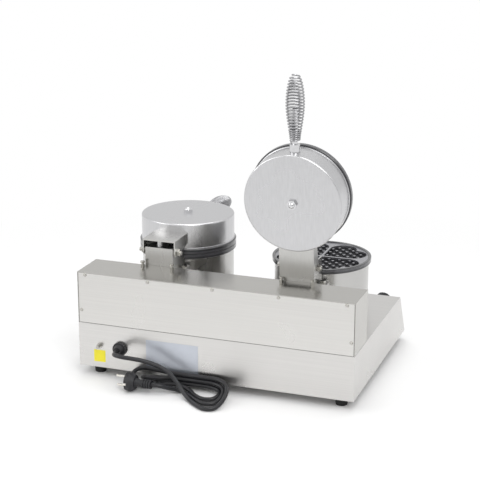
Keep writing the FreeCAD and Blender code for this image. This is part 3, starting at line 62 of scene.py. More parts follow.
class Graph:
    """A material's nodes, with a Principled shader at their end."""

    def __init__(self, name: str) -> None:
        """Start a material.

        Args:
            name: What the material is called.
        """
        self.material = bpy.data.materials.new(name)
        self.material.use_nodes = True
        self.tree = self.material.node_tree
        self.tree.nodes.clear()
        self.shader = self.tree.nodes.new("ShaderNodeBsdfPrincipled")
        output = self.tree.nodes.new("ShaderNodeOutputMaterial")
        self.tree.links.new(self.shader.outputs["BSDF"], output.inputs["Surface"])
        self.place = self.tree.nodes.new("ShaderNodeTexCoord").outputs["Object"]

    def plain(self, **values: float) -> None:
        """Set the shader's own sockets; an underscore stands for a space."""
        for name, value in values.items():
            self.shader.inputs[name.replace("_", " ")].default_value = value

    def drive(self, name: str, source: bpy.types.NodeSocket) -> None:
        """Let a socket of the shader follow a pattern."""
        self.tree.links.new(source, self.shader.inputs[name])

    def noise(self, stretch: Triple, detail: float = 3.0) -> bpy.types.NodeSocket:
        """Return a noise pattern.

        Args:
            stretch: Its scale along X, Y and Z, in cycles per metre.
            detail: How many finer layers it has.

        Returns:
            The socket with its value, about 0.5 on average.
        """
        mapping = self.tree.nodes.new("ShaderNodeMapping")
        mapping.inputs["Scale"].default_value = stretch
        texture = self.tree.nodes.new("ShaderNodeTexNoise")
        texture.inputs["Scale"].default_value = 1.0
        texture.inputs["Detail"].default_value = detail
        self.tree.links.new(self.place, mapping.inputs["Vector"])
        self.tree.links.new(mapping.outputs["Vector"], texture.inputs["Vector"])
        return texture.outputs["Fac"]

    def between(self, source: bpy.types.NodeSocket, low: float, high: float,
                start: float = 0.3, end: float = 0.7) -> bpy.types.NodeSocket:
        """Return a pattern stretched to a range of its own.

        Args:
            source: The pattern.
            low: Its new least value.
            high: Its new greatest value.
            start: The old value that becomes the least.
            end: The old value that becomes the greatest.

        Returns:
            The socket with the new value.
        """
        item = self.tree.nodes.new("ShaderNodeMapRange")
        for name, value in (("From Min", start), ("From Max", end), ("To Min", low), ("To Max", high)):
            item.inputs[name].default_value = value
        self.tree.links.new(source, item.inputs["Value"])
        return item.outputs["Result"]

    def blend(self, share: bpy.types.NodeSocket, first: Triple, second: Triple) -> bpy.types.NodeSocket:
        """Return a colour between two.

        Args:
            share: How much of the second colour shows.
            first: The colour where the share is 0.
            second: The colour where it is 1.

        Returns:
            The socket with the colour.
        """
        item = self.tree.nodes.new("ShaderNodeMix")
        item.data_type = "RGBA"
        item.inputs[6].default_value = (*first, 1.0)
        item.inputs[7].default_value = (*second, 1.0)
        self.tree.links.new(share, item.inputs[0])
        return item.outputs[2]

    def bump(self, source: bpy.types.NodeSocket, strength: float, depth: float) -> None:
        """Raise the surface by a pattern.

        Args:
            source: The pattern.
            strength: How much of it shows.
            depth: Its height in metres.
        """
        item = self.tree.nodes.new("ShaderNodeBump")
        item.inputs["Strength"].default_value = strength
        item.inputs["Distance"].default_value = depth
        self.tree.links.new(source, item.inputs["Height"])
        self.drive("Normal", item.outputs["Normal"])

    def height_over(self, point: Vector, way: Vector) -> bpy.types.NodeSocket:
        """Return how far the surface stands from a plane.

        Args:
            point: A point of the plane.
            way: The plane's unit normal.

        Returns:
            The socket with the distance in metres.
        """
        offset = self.tree.nodes.new("ShaderNodeVectorMath")
        offset.operation = "SUBTRACT"
        offset.inputs[1].default_value = point
        dot = self.tree.nodes.new("ShaderNodeVectorMath")
        dot.operation = "DOT_PRODUCT"
        dot.inputs[1].default_value = way
        self.tree.links.new(self.place, offset.inputs[0])
        self.tree.links.new(offset.outputs["Vector"], dot.inputs[0])
        return dot.outputs["Value"]


    def compare(self, source: bpy.types.NodeSocket, level: float, reach: float) -> bpy.types.NodeSocket:
        """Return 1 where a value is within reach of a level, and 0 elsewhere.

        Args:
            source: The value.
            level: The level.
            reach: How far from the level still counts.

        Returns:
            The socket with 1 or 0.
        """
        item = self.tree.nodes.new("ShaderNodeMath")
        item.operation = "COMPARE"
        item.inputs[1].default_value = level
        item.inputs[2].default_value = reach
        self.tree.links.new(source, item.inputs[0])
        return item.outputs["Value"]

    def darken(self, colour: bpy.types.NodeSocket, share: bpy.types.NodeSocket,
               factor: float) -> bpy.types.NodeSocket:
        """Return a colour made darker where a share is 1.

        Args:
            colour: The colour.
            share: Where it gets darker.
            factor: How much of it is left there.

        Returns:
            The socket with the colour.
        """
        item = self.tree.nodes.new("ShaderNodeMix")
        item.data_type = "RGBA"
        item.blend_type = "MULTIPLY"
        item.inputs[7].default_value = (factor, factor, factor, 1.0)
        self.tree.links.new(share, item.inputs[0])
        self.tree.links.new(colour, item.inputs[6])
        return item.outputs[2]


def tinted(colour: Triple, factor: float) -> Triple:
    """Return a colour made lighter or darker."""
    return (colour[0] * factor, colour[1] * factor, colour[2] * factor)


def lower_edge(name: str) -> tuple[Triple, Triple]:
    """Return the plane of a node's lower edge: a point of it and its normal."""
    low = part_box(name)[0]
    return (0.0, 0.0, low[2]), (0.0, 0.0, 1.0)


def side_edge(name: str, end: int) -> tuple[Triple, Triple]:
    """Return the plane of a node's side edge: its low end in X, or its high one."""
    return (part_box(name)[end][0], 0.0, 0.0), (1.0, 0.0, 0.0)


@dataclass(frozen=True)
class Steel:
    """Bare metal, brushed or polished."""

    name: str
    colour: Triple
    roughness: float
    grain: Grain = Grain.NONE
    streak: float = 0.05
    # Planes of joints where a thin dark line of painted shade stands for the shadowed gap between parts.
    gap_shade_planes: tuple[tuple[Triple, Triple], ...] = ()

    def material(self) -> bpy.types.Material:
        """Return the metal with its brush lines, faint clouds and painted shade along the gaps at its
        joints.
        """
        graph = Graph(self.name)
        graph.plain(Metallic=1.0)
        lines = graph.noise(self.grain.value, 1.0)
        clouds = graph.noise((9.0, 9.0, 9.0), 2.0)
        colour = graph.blend(graph.between(lines, 0.0, 1.0), tinted(self.colour, 1 - self.streak),
                             tinted(self.colour, 1 + self.streak))
        # Painted shade: a dark line in the colour where a joint's narrow gap would lie in shadow.
        for point, way in self.gap_shade_planes:
            line = graph.compare(graph.height_over(Vector(point), Vector(way)), 0.0, 0.0007)
            colour = graph.darken(colour, line, 0.12)
        graph.drive("Base Color", colour)
        graph.drive("Roughness", graph.between(clouds, self.roughness * 0.88, self.roughness * 1.12))
        return graph.material


@dataclass(frozen=True)
class Moulded:
    """Rubber or moulded plastic with a fine skin."""

    name: str
    colour: Triple
    roughness: float
    skin: float = 900.0
    relief: float = 0.00006

    def material(self) -> bpy.types.Material:
        """Return the moulding with its skin and rubbed patches."""
        graph = Graph(self.name)
        graph.plain(Specular_IOR_Level=0.4)
        skin = graph.noise((self.skin, self.skin, self.skin), 3.0)
        rubbed = graph.noise((35.0, 35.0, 35.0), 3.0)
        graph.drive("Base Color", graph.blend(
            graph.between(rubbed, 0.0, 1.0), self.colour, tinted(self.colour, 1.5)))
        graph.drive("Roughness", graph.between(rubbed, self.roughness * 0.85, self.roughness * 1.1))
        graph.bump(skin, 0.3, self.relief)
        return graph.material


@dataclass(frozen=True)
class Casting:
    """A coated cast baking plate, with a painted highlight on its land and its studs' tops."""

    name: str
    face: Vector
    way: Vector
    coat: Triple = (0.022, 0.022, 0.026)
    # The lighter colour that paints the highlight on the land and the studs' tops.
    painted_glint: Triple = (0.19, 0.19, 0.21)
    rim: Triple = (0.05, 0.05, 0.06)
    land_drop: float = 0.0023
    heart_depth: float = 0.0070
    stud_height: float = 0.0050

    def material(self) -> bpy.types.Material:
        """Return the casting, with painted highlight at the heights of its land and its studs' tops."""
        graph = Graph(self.name)
        graph.plain(Specular_IOR_Level=0.5, Coat_Weight=0.9, Coat_Roughness=0.14)
        height = graph.height_over(self.face, self.way)
        stud_top = -self.land_drop - self.heart_depth + self.stud_height
        # Painted highlight: the flats at the land's height and at the studs' tops get the lighter colour.
        bands = [graph.compare(height, level, 0.00025) for level in (-self.land_drop, stud_top)]
        joined = graph.tree.nodes.new("ShaderNodeMath")
        joined.operation = "MAXIMUM"
        graph.tree.links.new(bands[0], joined.inputs[0])
        graph.tree.links.new(bands[1], joined.inputs[1])
        grit = graph.noise((420.0, 420.0, 420.0), 4.0)
        graph.drive("Base Color", graph.blend(joined.outputs["Value"], self.coat, self.painted_glint))
        graph.drive("Roughness", graph.between(grit, 0.34, 0.5))
        graph.bump(grit, 0.25, 0.00015)
        return graph.material


@dataclass(frozen=True)
class Film:
    """A bare label or plate stuck to a wall."""

    name: str
    colour: Triple
    metallic: float
    roughness: float

    def material(self) -> bpy.types.Material:
        """Return the film with a faint unevenness."""
        graph = Graph(self.name)
        graph.plain(Metallic=self.metallic, Coat_Weight=0.2, Coat_Roughness=0.25)
        cloud = graph.noise((60.0, 60.0, 60.0), 3.0)
        graph.drive("Base Color", graph.blend(
            graph.between(cloud, 0.0, 1.0), tinted(self.colour, 0.95), self.colour))
        graph.drive("Roughness", graph.between(cloud, self.roughness * 0.9, self.roughness * 1.1))
        graph.bump(cloud, 0.05, 0.00005)
        return graph.material


@dataclass(frozen=True)
class Wool:
    """Mineral wool packing."""

    name: str = "mineral_wool"
    colour: Triple = (0.62, 0.58, 0.44)

    def material(self) -> bpy.types.Material:
        """Return the wool with its fibres."""
        graph = Graph(self.name)
        graph.plain(Roughness=0.95, Sheen_Weight=0.3)
        fibres = graph.noise((300.0, 300.0, 1400.0), 6.0)
        graph.drive("Base Color", graph.blend(
            graph.between(fibres, 0.0, 1.0), tinted(self.colour, 0.7), self.colour))
        graph.bump(fibres, 0.8, 0.0006)
        return graph.material


SHEET = Steel("brushed_sheet", (0.66, 0.65, 0.635), 0.3, Grain.ALONG_WIDTH, 0.02)
# The housing and the rear panel carry lines of painted gap shade along their edges.
HOUSING = Steel("housing_sheet", (0.5, 0.49, 0.465), 0.22, Grain.ALONG_WIDTH, 0.02,
                (lower_edge("rear_housing"),))
PANEL = Steel("rear_panel_sheet", (0.67, 0.66, 0.64), 0.3, Grain.ALONG_WIDTH, 0.02,
              (lower_edge("rear_panel"), side_edge("rear_panel", 1), side_edge("rear_panel", 0)))
COVER = Steel("cover_steel", (0.6, 0.6, 0.61), 0.28, Grain.UPRIGHT, 0.03)
DRUM = Steel("drum_steel", (0.54, 0.535, 0.525), 0.27, Grain.ALONG_WIDTH, 0.02)
NUT = Steel("nut_steel", (0.66, 0.66, 0.67), 0.1)
BRACKET = Steel("bracket_steel", (0.56, 0.555, 0.54), 0.29, Grain.UPRIGHT, 0.02)
BRIGHT = Steel("bright_steel", (0.5, 0.49, 0.46), 0.16)
WIRE = Steel("spring_wire", (0.4, 0.4, 0.41), 0.14)
HEATER = Steel("heater_casting", (0.55, 0.55, 0.55), 0.5)
NICKEL = Steel("plated_pin", (0.76, 0.74, 0.69), 0.2)
MOULDING = Moulded("black_moulding", (0.016, 0.016, 0.018), 0.5)
FOOT = Moulded("foot_rubber", (0.014, 0.014, 0.014), 0.75)
CORD = Moulded("cord_rubber", (0.014, 0.014, 0.016), 0.34, 500.0)
CASE = Moulded("control_case", (0.6, 0.58, 0.52), 0.5)
LENS = Moulded("lamp_lens", (0.6, 0.06, 0.02), 0.15, 200.0, 0.00001)
MARK = Moulded("white_mark", (0.8, 0.8, 0.78), 0.5)
TICK = Moulded("tick_ink", (0.03, 0.03, 0.03), 0.6)
FOIL = Film("plate_foil", (0.56, 0.59, 0.65), 0.75, 0.34)
YELLOW = Film("label_yellow", (0.86, 0.76, 0.02), 0.0, 0.4)


class Wardrobe:
    """Gives finishes to nodes and pieces, and knows which nodes have none yet."""

    def __init__(self) -> None:
        """Start with no finish made."""
        self.made: dict[str, bpy.types.Material] = {}
        self.bare = set(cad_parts)

    def wear(self, item: bpy.types.Object, finish: object) -> None:
        """Give an object one finish.

        Args:
            item: The object.
            finish: The finish, which is made once and shared.
        """
        if finish.name not in self.made:
            self.made[finish.name] = finish.material()
        item.data.materials.clear()
        item.data.materials.append(self.made[finish.name])

    def dress(self, finish: object, *names: str) -> None:
        """Give nodes of the frame one finish."""
        for name in names:
            self.wear(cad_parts[name], finish)
            self.bare.discard(name)


def mesh_piece(name: str, mesh: bmesh.types.BMesh, place: Matrix, body: str) -> bpy.types.Object:
    """Turn mesh code into a piece that rides on a body.

    Args:
        name: The piece's name.
        mesh: Its mesh, which is freed.
        place: Where it goes in the row frame.
        body: The body that it rides on.

    Returns:
        The piece.
    """
    data = bpy.data.meshes.new(name)
    mesh.transform(place)
    bmesh.ops.recalc_face_normals(mesh, faces=mesh.faces)
    mesh.to_mesh(data)
    mesh.free()
    item = bpy.data.objects.new(name, data)
    bpy.context.scene.collection.objects.link(item)
    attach(item, body)
    return item


@dataclass
class Studio:
    """The camera, the lamps, the floor and the pale surroundings."""

    eye: Triple = (-0.89471, 2.58509, 1.06349)
    azimuth: float = 199.63
    elevation: float = 16.77
    roll: float = 0.06
    lens: float = 105.9
    floor_size: float = 14.0
    floor_near: float = 0.55
    floor_far: float = 1.15
    far_wall: float = 0.82
    card_way: Triple = (-0.72, 0.69, 0.0)
    card_edge: float = 0.8
    card_middle: float = 0.97
    card_tone: float = 0.42

    def camera(self) -> None:
        """Set the camera at the photograph's place."""
        data = bpy.data.cameras.new("Camera")
        data.lens = self.lens
        data.sensor_width = 36.0
        data.clip_end = 60.0
        item = bpy.data.objects.new("Camera", data)
        bpy.context.scene.collection.objects.link(item)
        turn = math.radians(self.azimuth)
        rise = math.radians(self.elevation)
        back = Vector((math.sin(turn) * math.cos(rise), -math.cos(turn) * math.cos(rise), math.sin(rise)))
        right = Vector((0, 0, 1)).cross(back).normalized()
        up = back.cross(right)
        facing = Matrix((right, up, back)).transposed().to_4x4()
        item.matrix_world = (Matrix.Translation(self.eye) @ facing
                             @ Matrix.Rotation(math.radians(self.roll), 4, "Z"))
        bpy.context.scene.camera = item

    def lamp(self, name: str, place: Triple, size: float, power: float) -> None:
        """Hang a square soft lamp that faces the object.

        Args:
            name: The lamp's name.
            place: Where it hangs.
            size: Its side in metres.
            power: Its power in watts.
        """
        data = bpy.data.lights.new(name, "AREA")
        data.size = size
        data.energy = power
        item = bpy.data.objects.new(name, data)
        bpy.context.scene.collection.objects.link(item)
        item.location = place
        item.rotation_euler = (Vector((0, 0, 0.15)) - Vector(place)).to_track_quat("-Z", "Y").to_euler()

    def seen(self, tree: bpy.types.NodeTree) -> bpy.types.NodeSocket:
        """Return 1 for rays that come from the camera, a gloss or a glass."""
        path = tree.nodes.new("ShaderNodeLightPath")
        total = path.outputs["Is Camera Ray"]
        for name in ("Is Glossy Ray", "Is Transmission Ray"):
            either = tree.nodes.new("ShaderNodeMath")
            either.operation = "MAXIMUM"
            tree.links.new(total, either.inputs[0])
            tree.links.new(path.outputs[name], either.inputs[1])
            total = either.outputs["Value"]
        return total

    def card(self, tree: bpy.types.NodeTree, way: bpy.types.NodeSocket,
             tone: bpy.types.NodeSocket) -> bpy.types.NodeSocket:
        """Return the surroundings' tone with a dark upright card standing in them.

        Args:
            tree: The nodes of the surroundings.
            way: The direction looked in.
            tone: The tone without the card.

        Returns:
            The socket with the tone.
        """
        dot = tree.nodes.new("ShaderNodeVectorMath")
        dot.operation = "DOT_PRODUCT"
        dot.inputs[1].default_value = self.card_way
        shade = tree.nodes.new("ShaderNodeMapRange")
        shade.interpolation_type = "SMOOTHSTEP"
        for name, value in (("From Min", self.card_edge), ("From Max", self.card_middle), ("To Min", 1.0),
                            ("To Max", self.card_tone)):
            shade.inputs[name].default_value = value
        both = tree.nodes.new("ShaderNodeMath")
        both.operation = "MULTIPLY"
        tree.links.new(way, dot.inputs[0])
        tree.links.new(dot.outputs["Value"], shade.inputs["Value"])
        tree.links.new(shade.outputs["Result"], both.inputs[0])
        tree.links.new(tone, both.inputs[1])
        return both.outputs["Value"]

    def world(self) -> None:
        """Make the surroundings white where they show, and softer where they light."""
        world = bpy.data.worlds.new("Surroundings")
        bpy.context.scene.world = world
        world.use_nodes = True
        tree = world.node_tree
        tree.nodes.clear()
        ambient = tree.nodes.new("ShaderNodeBackground")
        ambient.inputs["Strength"].default_value = 0.62
        shown = tree.nodes.new("ShaderNodeBackground")
        shown.inputs["Strength"].default_value = 1.0
        pick = tree.nodes.new("ShaderNodeMixShader")
        output = tree.nodes.new("ShaderNodeOutputWorld")
        tree.links.new(self.seen(tree), pick.inputs["Fac"])
        tree.links.new(ambient.outputs["Background"], pick.inputs[1])
        tree.links.new(shown.outputs["Background"], pick.inputs[2])
        tree.links.new(pick.outputs["Shader"], output.inputs["Surface"])
        ambient.inputs["Color"].default_value = (1.0, 1.0, 1.0, 1.0)
        way = tree.nodes.new("ShaderNodeTexCoord")
        parts = tree.nodes.new("ShaderNodeSeparateXYZ")
        ramp = tree.nodes.new("ShaderNodeMapRange")
        path = tree.nodes.new("ShaderNodeLightPath")
        white = tree.nodes.new("ShaderNodeMath")
        white.operation = "MAXIMUM"
        for name, value in (("From Min", -0.95), ("From Max", 0.35), ("To Min", self.far_wall),
                            ("To Max", 1.0)):
            ramp.inputs[name].default_value = value
        tree.links.new(way.outputs["Generated"], parts.inputs[0])
        tree.links.new(parts.outputs["Y"], ramp.inputs["Value"])
        tree.links.new(self.card(tree, way.outputs["Generated"], ramp.outputs["Result"]), white.inputs[0])
        tree.links.new(path.outputs["Is Camera Ray"], white.inputs[1])
        tree.links.new(white.outputs["Value"], shown.inputs["Color"])

    def floor(self) -> None:
        """Lay the pale floor that keeps the object's shadow."""
        mesh = bmesh.new()
        bmesh.ops.create_grid(mesh, x_segments=1, y_segments=1, size=self.floor_size / 2)
        data = bpy.data.meshes.new("Floor")
        mesh.to_mesh(data)
        mesh.free()
        item = bpy.data.objects.new("Floor", data)
        bpy.context.scene.collection.objects.link(item)
        graph = Graph("floor_paper")
        graph.plain(Roughness=0.9, Specular_IOR_Level=0.1)
        paper = graph.noise((40.0, 40.0, 40.0))
        graph.drive("Base Color", graph.blend(paper, (0.93, 0.93, 0.93), (0.95, 0.95, 0.95)))
        length = graph.tree.nodes.new("ShaderNodeVectorMath")
        length.operation = "LENGTH"
        graph.tree.links.new(graph.place, length.inputs[0])
        fade = graph.between(length.outputs["Value"], 0.0, 1.0, self.floor_near, self.floor_far)
        glow = graph.tree.nodes.new("ShaderNodeEmission")
        pick = graph.tree.nodes.new("ShaderNodeMixShader")
        share = graph.tree.nodes.new("ShaderNodeMath")
        share.operation = "MULTIPLY"
        graph.tree.links.new(fade, share.inputs[0])
        graph.tree.links.new(self.seen(graph.tree), share.inputs[1])
        graph.tree.links.new(share.outputs["Value"], pick.inputs["Fac"])
        graph.tree.links.new(graph.shader.outputs["BSDF"], pick.inputs[1])
        graph.tree.links.new(glow.outputs["Emission"], pick.inputs[2])
        output = next(node for node in graph.tree.nodes if node.type == "OUTPUT_MATERIAL")
        graph.tree.links.new(pick.outputs["Shader"], output.inputs["Surface"])
        data.materials.append(graph.material)

    def build(self) -> None:
        """Set up the whole studio."""
        bpy.context.scene.view_settings.view_transform = "Standard"
        self.camera()
        self.world()
        self.floor()
        self.lamp("Key", (-1.6, 2.2, 2.6), 1.8, 42.0)
        self.lamp("Fill", (2.2, 1.6, 1.6), 1.6, 16.0)
        self.lamp("Top", (0.0, -0.4, 2.8), 2.0, 26.0)


@dataclass
class MainsCord:
    """The rubber cord: a lead from the gland, a folded hank and a tail to the plug."""

    rear: float = 0.234
    diameter: float = 0.0085
    length: float = 1.346
    floor: float = 0.00435
    waist: float = 0.060
    lead: tuple[Triple, ...] = (
        (0.192, 0.016, 0.064), (0.192, 0.031, 0.064), (0.184, 0.043, 0.067), (0.167, 0.047, 0.067),
        (0.149, 0.043, 0.065), (0.130, 0.037, 0.0615), (0.111, 0.032, 0.056), (0.093, 0.029, 0.049),
        (0.076, 0.0295, 0.040), (0.060, 0.0355, 0.0275), (0.043, 0.046, 0.0135))
    outer_turn: tuple[Triple, ...] = (
        (0.088, 0.008, 0.032), (0.112, 0.0075, 0.034), (0.136, 0.007, 0.036), (0.154, 0.011, 0.031),
        (0.161, 0.020, 0.019), (0.153, 0.026, 0.008), (0.133, 0.026, 0.0055), (0.110, 0.021, 0.0085),
        (0.086, 0.017, 0.0125), (0.062, 0.0175, 0.0135), (0.039, 0.019, 0.007))
    inner_turn: tuple[Triple, ...] = (
        (0.078, 0.0075, 0.0126), (0.098, -0.001, 0.0085), (0.119, -0.010, 0.0065),
        (0.138, -0.005, 0.0085), (0.144, 0.009, 0.015), (0.130, 0.021, 0.0205),
        (0.106, 0.020, 0.0222), (0.082, 0.010, 0.0226))
    tail: tuple[Triple, ...] = (
        (0.038, 0.034, 0.00435), (0.059, 0.022, 0.00495), (0.079, 0.036, 0.012),
        (0.092, 0.047, 0.0191), (0.107, 0.047, 0.0191))

    def fold(self, reach: float, bulge: float, height: float) -> list[Triple]:
        """Return one right-hand fold, from its front run on the floor to its back run.

        Args:
            reach: Its furthest x.
            bulge: How far its front run lies from the rear face.
            height: How high its back run lies.

        Returns:
            The fold's control points.
        """
        climb = height - self.floor
        return [(reach + 0.049, bulge - 0.014, self.floor), (reach + 0.026, bulge * 1.02, self.floor),
                (reach + 0.005, bulge * 0.92, self.floor + 0.0005),
                (reach - 0.001, bulge * 0.56, self.floor + climb * 0.35),
                (reach + 0.003, bulge * 0.22 + 0.002, self.floor + climb * 0.8),
                (reach + 0.026, 0.0075, height + 0.0003), (reach + 0.060, 0.0078, height),
                (self.waist, 0.0082, height)]

    def points(self) -> list[Vector]:
        """Return the whole route's control points in the row frame."""
        route = [*self.lead, (0.024, 0.060, self.floor), *self.fold(-0.043, 0.090, 0.0315),
                 *self.outer_turn, *self.fold(-0.023, 0.048, 0.0133), *self.inner_turn,
                 *reversed(self.fold(-0.033, 0.068, 0.0224)), *self.tail]
        return [Vector((x, y + self.rear, z)) for x, y, z in route]

    def build(self, wardrobe: Wardrobe) -> None:
        """Lay the cord and dress its gland, plug and pins.

        Args:
            wardrobe: Where the finishes come from.
        """
        data = bpy.data.curves.new("Mains_cord", "CURVE")
        data.dimensions = "3D"
        data.bevel_depth = 1.0
        data.bevel_resolution = 6
        data.resolution_u = 12
        data.use_fill_caps = True
        spline = data.splines.new("NURBS")
        points = self.points()
        spline.points.add(len(points) - 1)
        for point, spot in zip(spline.points, points):
            point.co = (*spot, 1.0)
            point.radius = self.diameter / 2
        spline.order_u = 3
        spline.use_endpoint_u = True
        item = bpy.data.objects.new("Mains_cord", data)
        bpy.context.scene.collection.objects.link(item)
        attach(item, "base")
        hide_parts("cord_lead", "cord_hank", "cord_tail")
        wardrobe.wear(item, CORD)
        wardrobe.dress(CORD, "cord_lead", "cord_hank", "cord_tail")
        wardrobe.dress(MOULDING, "cable_gland", "plug_body")
        wardrobe.dress(NICKEL, "plug_pins", "plug_earth_clips")


@dataclass
class Cabinet:
    """The base, the rear housing, the feet and what the rear face carries."""

    gland: Triple = (0.192, 0.234, 0.064)
    gland_radius: float = 0.0135
    gland_depth: float = 0.0070
    ridges: int = 18

    def gland_collar(self, wardrobe: Wardrobe) -> None:
        """Ring the gland's flange with the ridges that a hand grips.

        Args:
            wardrobe: Where the finishes come from.
        """
        mesh = bmesh.new()
        rings = []
        for depth, swell in ((0.0008, 0.0), (0.0016, 1.0), (self.gland_depth - 0.0012, 1.0),
                             (self.gland_depth + 0.0004, 0.0)):
            ring = []
            for step in range(self.ridges * 6):
                angle = 2 * math.pi * step / (self.ridges * 6)
                wave = 0.0007 * (0.5 + 0.5 * math.cos(self.ridges * angle))
                radius = self.gland_radius - 0.0004 + swell * (0.0005 + wave)
                ring.append(mesh.verts.new((radius * math.cos(angle), depth, radius * math.sin(angle))))
            rings.append(ring)
        for lower, upper in zip(rings, rings[1:]):
            for step in range(len(lower)):
                after = (step + 1) % len(lower)
                mesh.faces.new((lower[step], lower[after], upper[after], upper[step]))
        item = mesh_piece("Gland_collar", mesh, Matrix.Translation(self.gland), "base")
        wardrobe.wear(item, MOULDING)

    def build(self, wardrobe: Wardrobe) -> None:
        """Dress the cabinet's nodes.

        Args:
            wardrobe: Where the finishes come from.
        """
        wardrobe.dress(SHEET, "base_shell", "bottom_plate", "panel_frame", "hinge_posts")
        wardrobe.dress(HOUSING, "rear_housing")
        wardrobe.dress(PANEL, "rear_panel")
        wardrobe.dress(FOOT, "rubber_feet")
        wardrobe.dress(BRIGHT, "bottom_screws", "rear_panel_screws",
                       "ground_terminal", "bracket_bolts", "stop_screws")
        wardrobe.dress(FOIL, "rating_plate")
        wardrobe.dress(YELLOW, "yellow_label")
        wardrobe.dress(MOULDING, "gland_nut")
        wardrobe.dress(CASE, "terminal_block", "thermostats", "timers")
        wardrobe.dress(Wool(), "lower_insulation")
        self.gland_collar(wardrobe)


@dataclass
class BakingHead:
    """One head: its drum, its two plates, its hinge and its lid."""

    side: str
    head: Triple = (0.1434, -0.0083, 0.2209)
    pivot: Triple = (0.1434, 0.1344, 0.2401)
    open_angle: float = 96.6
    plate_gap: float = 0.0004
    sign: float = field(init=False)

    def __post_init__(self) -> None:
        """Put the head on its own side."""
        self.sign = 1.0 if self.side == "right" else -1.0

    def faces(self) -> tuple[Casting, Casting]:
        """Return the finishes of the lower and the upper plate, with the planes that they face."""
        low_face = Vector((self.sign * self.head[0], self.head[1], self.head[2]))
        high_face = low_face + Vector((0.0, 0.0, self.plate_gap))
        way = Vector((0.0, 0.0, -1.0))
        if self.side == "left":
            hinge = Vector((self.sign * self.pivot[0], self.pivot[1], self.pivot[2]))
            turn = Matrix.Rotation(math.radians(-self.open_angle), 3, "X")
            high_face = hinge + turn @ (high_face - hinge)
            way = turn @ way
        return (Casting("lower_casting_" + self.side, low_face, Vector((0.0, 0.0, 1.0))),
                Casting("upper_casting_" + self.side, high_face, way))

    def build(self, wardrobe: Wardrobe) -> None:
        """Dress the head's nodes.

        Args:
            wardrobe: Where the finishes come from.
        """
        lower, upper = self.faces()
        side = self.side
        wardrobe.dress(DRUM, "drum_" + side)
        wardrobe.dress(lower, "lower_plate_" + side)
        wardrobe.dress(upper, "upper_plate_" + side)
        wardrobe.dress(HEATER, "lower_heater_" + side, "upper_heater_" + side)
        wardrobe.dress(Wool(), "upper_insulation_" + side)
        wardrobe.dress(COVER, "lid_cover_" + side)
        wardrobe.dress(BRACKET, "hinge_bracket_" + side, "hinge_arm_" + side)
        wardrobe.dress(BRIGHT, "hinge_bolt_" + side)
        wardrobe.dress(NUT, "cover_nut_" + side, "handle_rod_" + side)
        wardrobe.dress(WIRE, "handle_spring_" + side)


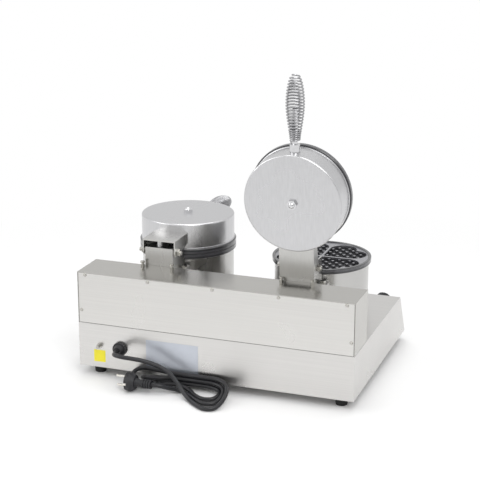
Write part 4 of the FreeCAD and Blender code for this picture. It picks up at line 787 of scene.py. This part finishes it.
@dataclass
class ControlPanel:
    """The knobs, rockers and lamps in the sloping front."""

    lean: float = 29.03
    control_y: float = -0.1379
    control_z: float = 0.0856
    head_x: float = 0.1434
    spread: float = 0.0946
    grip_radius: float = 0.0149
    grip_low: float = 0.0046
    grip_top: float = 0.0206
    flutes: int = 22
    ticks: int = 11
    sweep: float = 270.0

    def spot(self, x: float) -> Matrix:
        """Return the panel's own frame at an x, with Z out of the panel."""
        return (Matrix.Translation((x, self.control_y, self.control_z))
                @ Matrix.Rotation(math.radians(90.0 - self.lean), 4, "X"))

    def grip(self, name: str, x: float, wardrobe: Wardrobe) -> None:
        """Make a knob's fluted grip with its pointer.

        Args:
            name: The knob's body.
            x: Where the knob stands.
            wardrobe: Where the finishes come from.
        """
        mesh = bmesh.new()
        count = self.flutes * 8
        rings = []
        for height, inset, depth in ((self.grip_low, 0.0, 1.0), (self.grip_top - 0.0016, 0.0010, 1.0),
                                     (self.grip_top - 0.0004, 0.0017, 0.6), (self.grip_top, 0.0030, 0.0)):
            ring = []
            for step in range(count):
                angle = 2 * math.pi * step / count
                wave = 0.0007 * depth * math.cos(self.flutes * angle)
                radius = self.grip_radius + wave - inset
                ring.append(mesh.verts.new((radius * math.cos(angle), radius * math.sin(angle), height)))
            rings.append(ring)
        for lower, upper in zip(rings, rings[1:]):
            for step in range(count):
                after = (step + 1) % count
                mesh.faces.new((lower[step], lower[after], upper[after], upper[step]))
        mesh.faces.new(rings[-1])
        item = mesh_piece("Grip_" + name, mesh, self.spot(x), name)
        wardrobe.wear(item, MOULDING)
        mark = bmesh.new()
        bmesh.ops.create_cube(mark, size=1.0, matrix=Matrix.Translation((0.0, 0.0072, self.grip_top))
                              @ Matrix.Diagonal((0.0012, 0.0080, 0.0006, 1.0)))
        bmesh.ops.bevel(mark, geom=mark.edges, offset=0.00015, segments=2, affect="EDGES")
        pointer = mesh_piece("Pointer_" + name, mark, self.spot(x), name)
        wardrobe.wear(pointer, MARK)

    def scale(self, name: str, x: float, wardrobe: Wardrobe) -> None:
        """Print the ring of ticks round a knob.

        Args:
            name: The knob's body.
            x: Where the knob stands.
            wardrobe: Where the finishes come from.
        """
        mesh = bmesh.new()
        for step in range(self.ticks):
            angle = math.radians(90.0 + self.sweep / 2 - self.sweep * step / (self.ticks - 1))
            place = (Matrix.Rotation(angle, 4, "Z") @ Matrix.Translation((0.0235, 0.0, 0.0001))
                     @ Matrix.Diagonal((0.0032, 0.0007, 0.0001, 1.0)))
            bmesh.ops.create_cube(mesh, size=1.0, matrix=place)
        item = mesh_piece("Ticks_" + name, mesh, self.spot(x), "base")
        wardrobe.wear(item, TICK)

    def build(self, wardrobe: Wardrobe) -> None:
        """Dress the controls and add their grips and ticks.

        Args:
            wardrobe: Where the finishes come from.
        """
        wardrobe.dress(MOULDING, "switch_frames")
        wardrobe.dress(LENS, "pilot_lamps")
        for side, sign in zip(SIDES, (1.0, -1.0)):
            wardrobe.dress(MOULDING, "rocker_" + side)
            for kind, way in (("thermostat", sign), ("timer", -sign)):
                name = "%s_knob_%s" % (kind, side)
                x = sign * self.head_x + way * self.spread
                wardrobe.dress(MOULDING, name)
                self.grip(name, x, wardrobe)
                self.scale(name, x, wardrobe)


def main() -> None:
    """Build the scene, piece by piece."""
    logging.basicConfig(level=logging.INFO, format="%(message)s")
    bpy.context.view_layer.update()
    wardrobe = Wardrobe()
    Studio().build()
    log.info("studio set")
    MainsCord().build(wardrobe)
    log.info("cord laid")
    Cabinet().build(wardrobe)
    log.info("cabinet dressed")
    for side in SIDES:
        BakingHead(side).build(wardrobe)
        log.info("%s head dressed", side)
    ControlPanel().build(wardrobe)
    log.info("controls made")
    if wardrobe.bare:
        raise RuntimeError("No finish for %s" % sorted(wardrobe.bare))


if __name__ == "__main__":
    main()
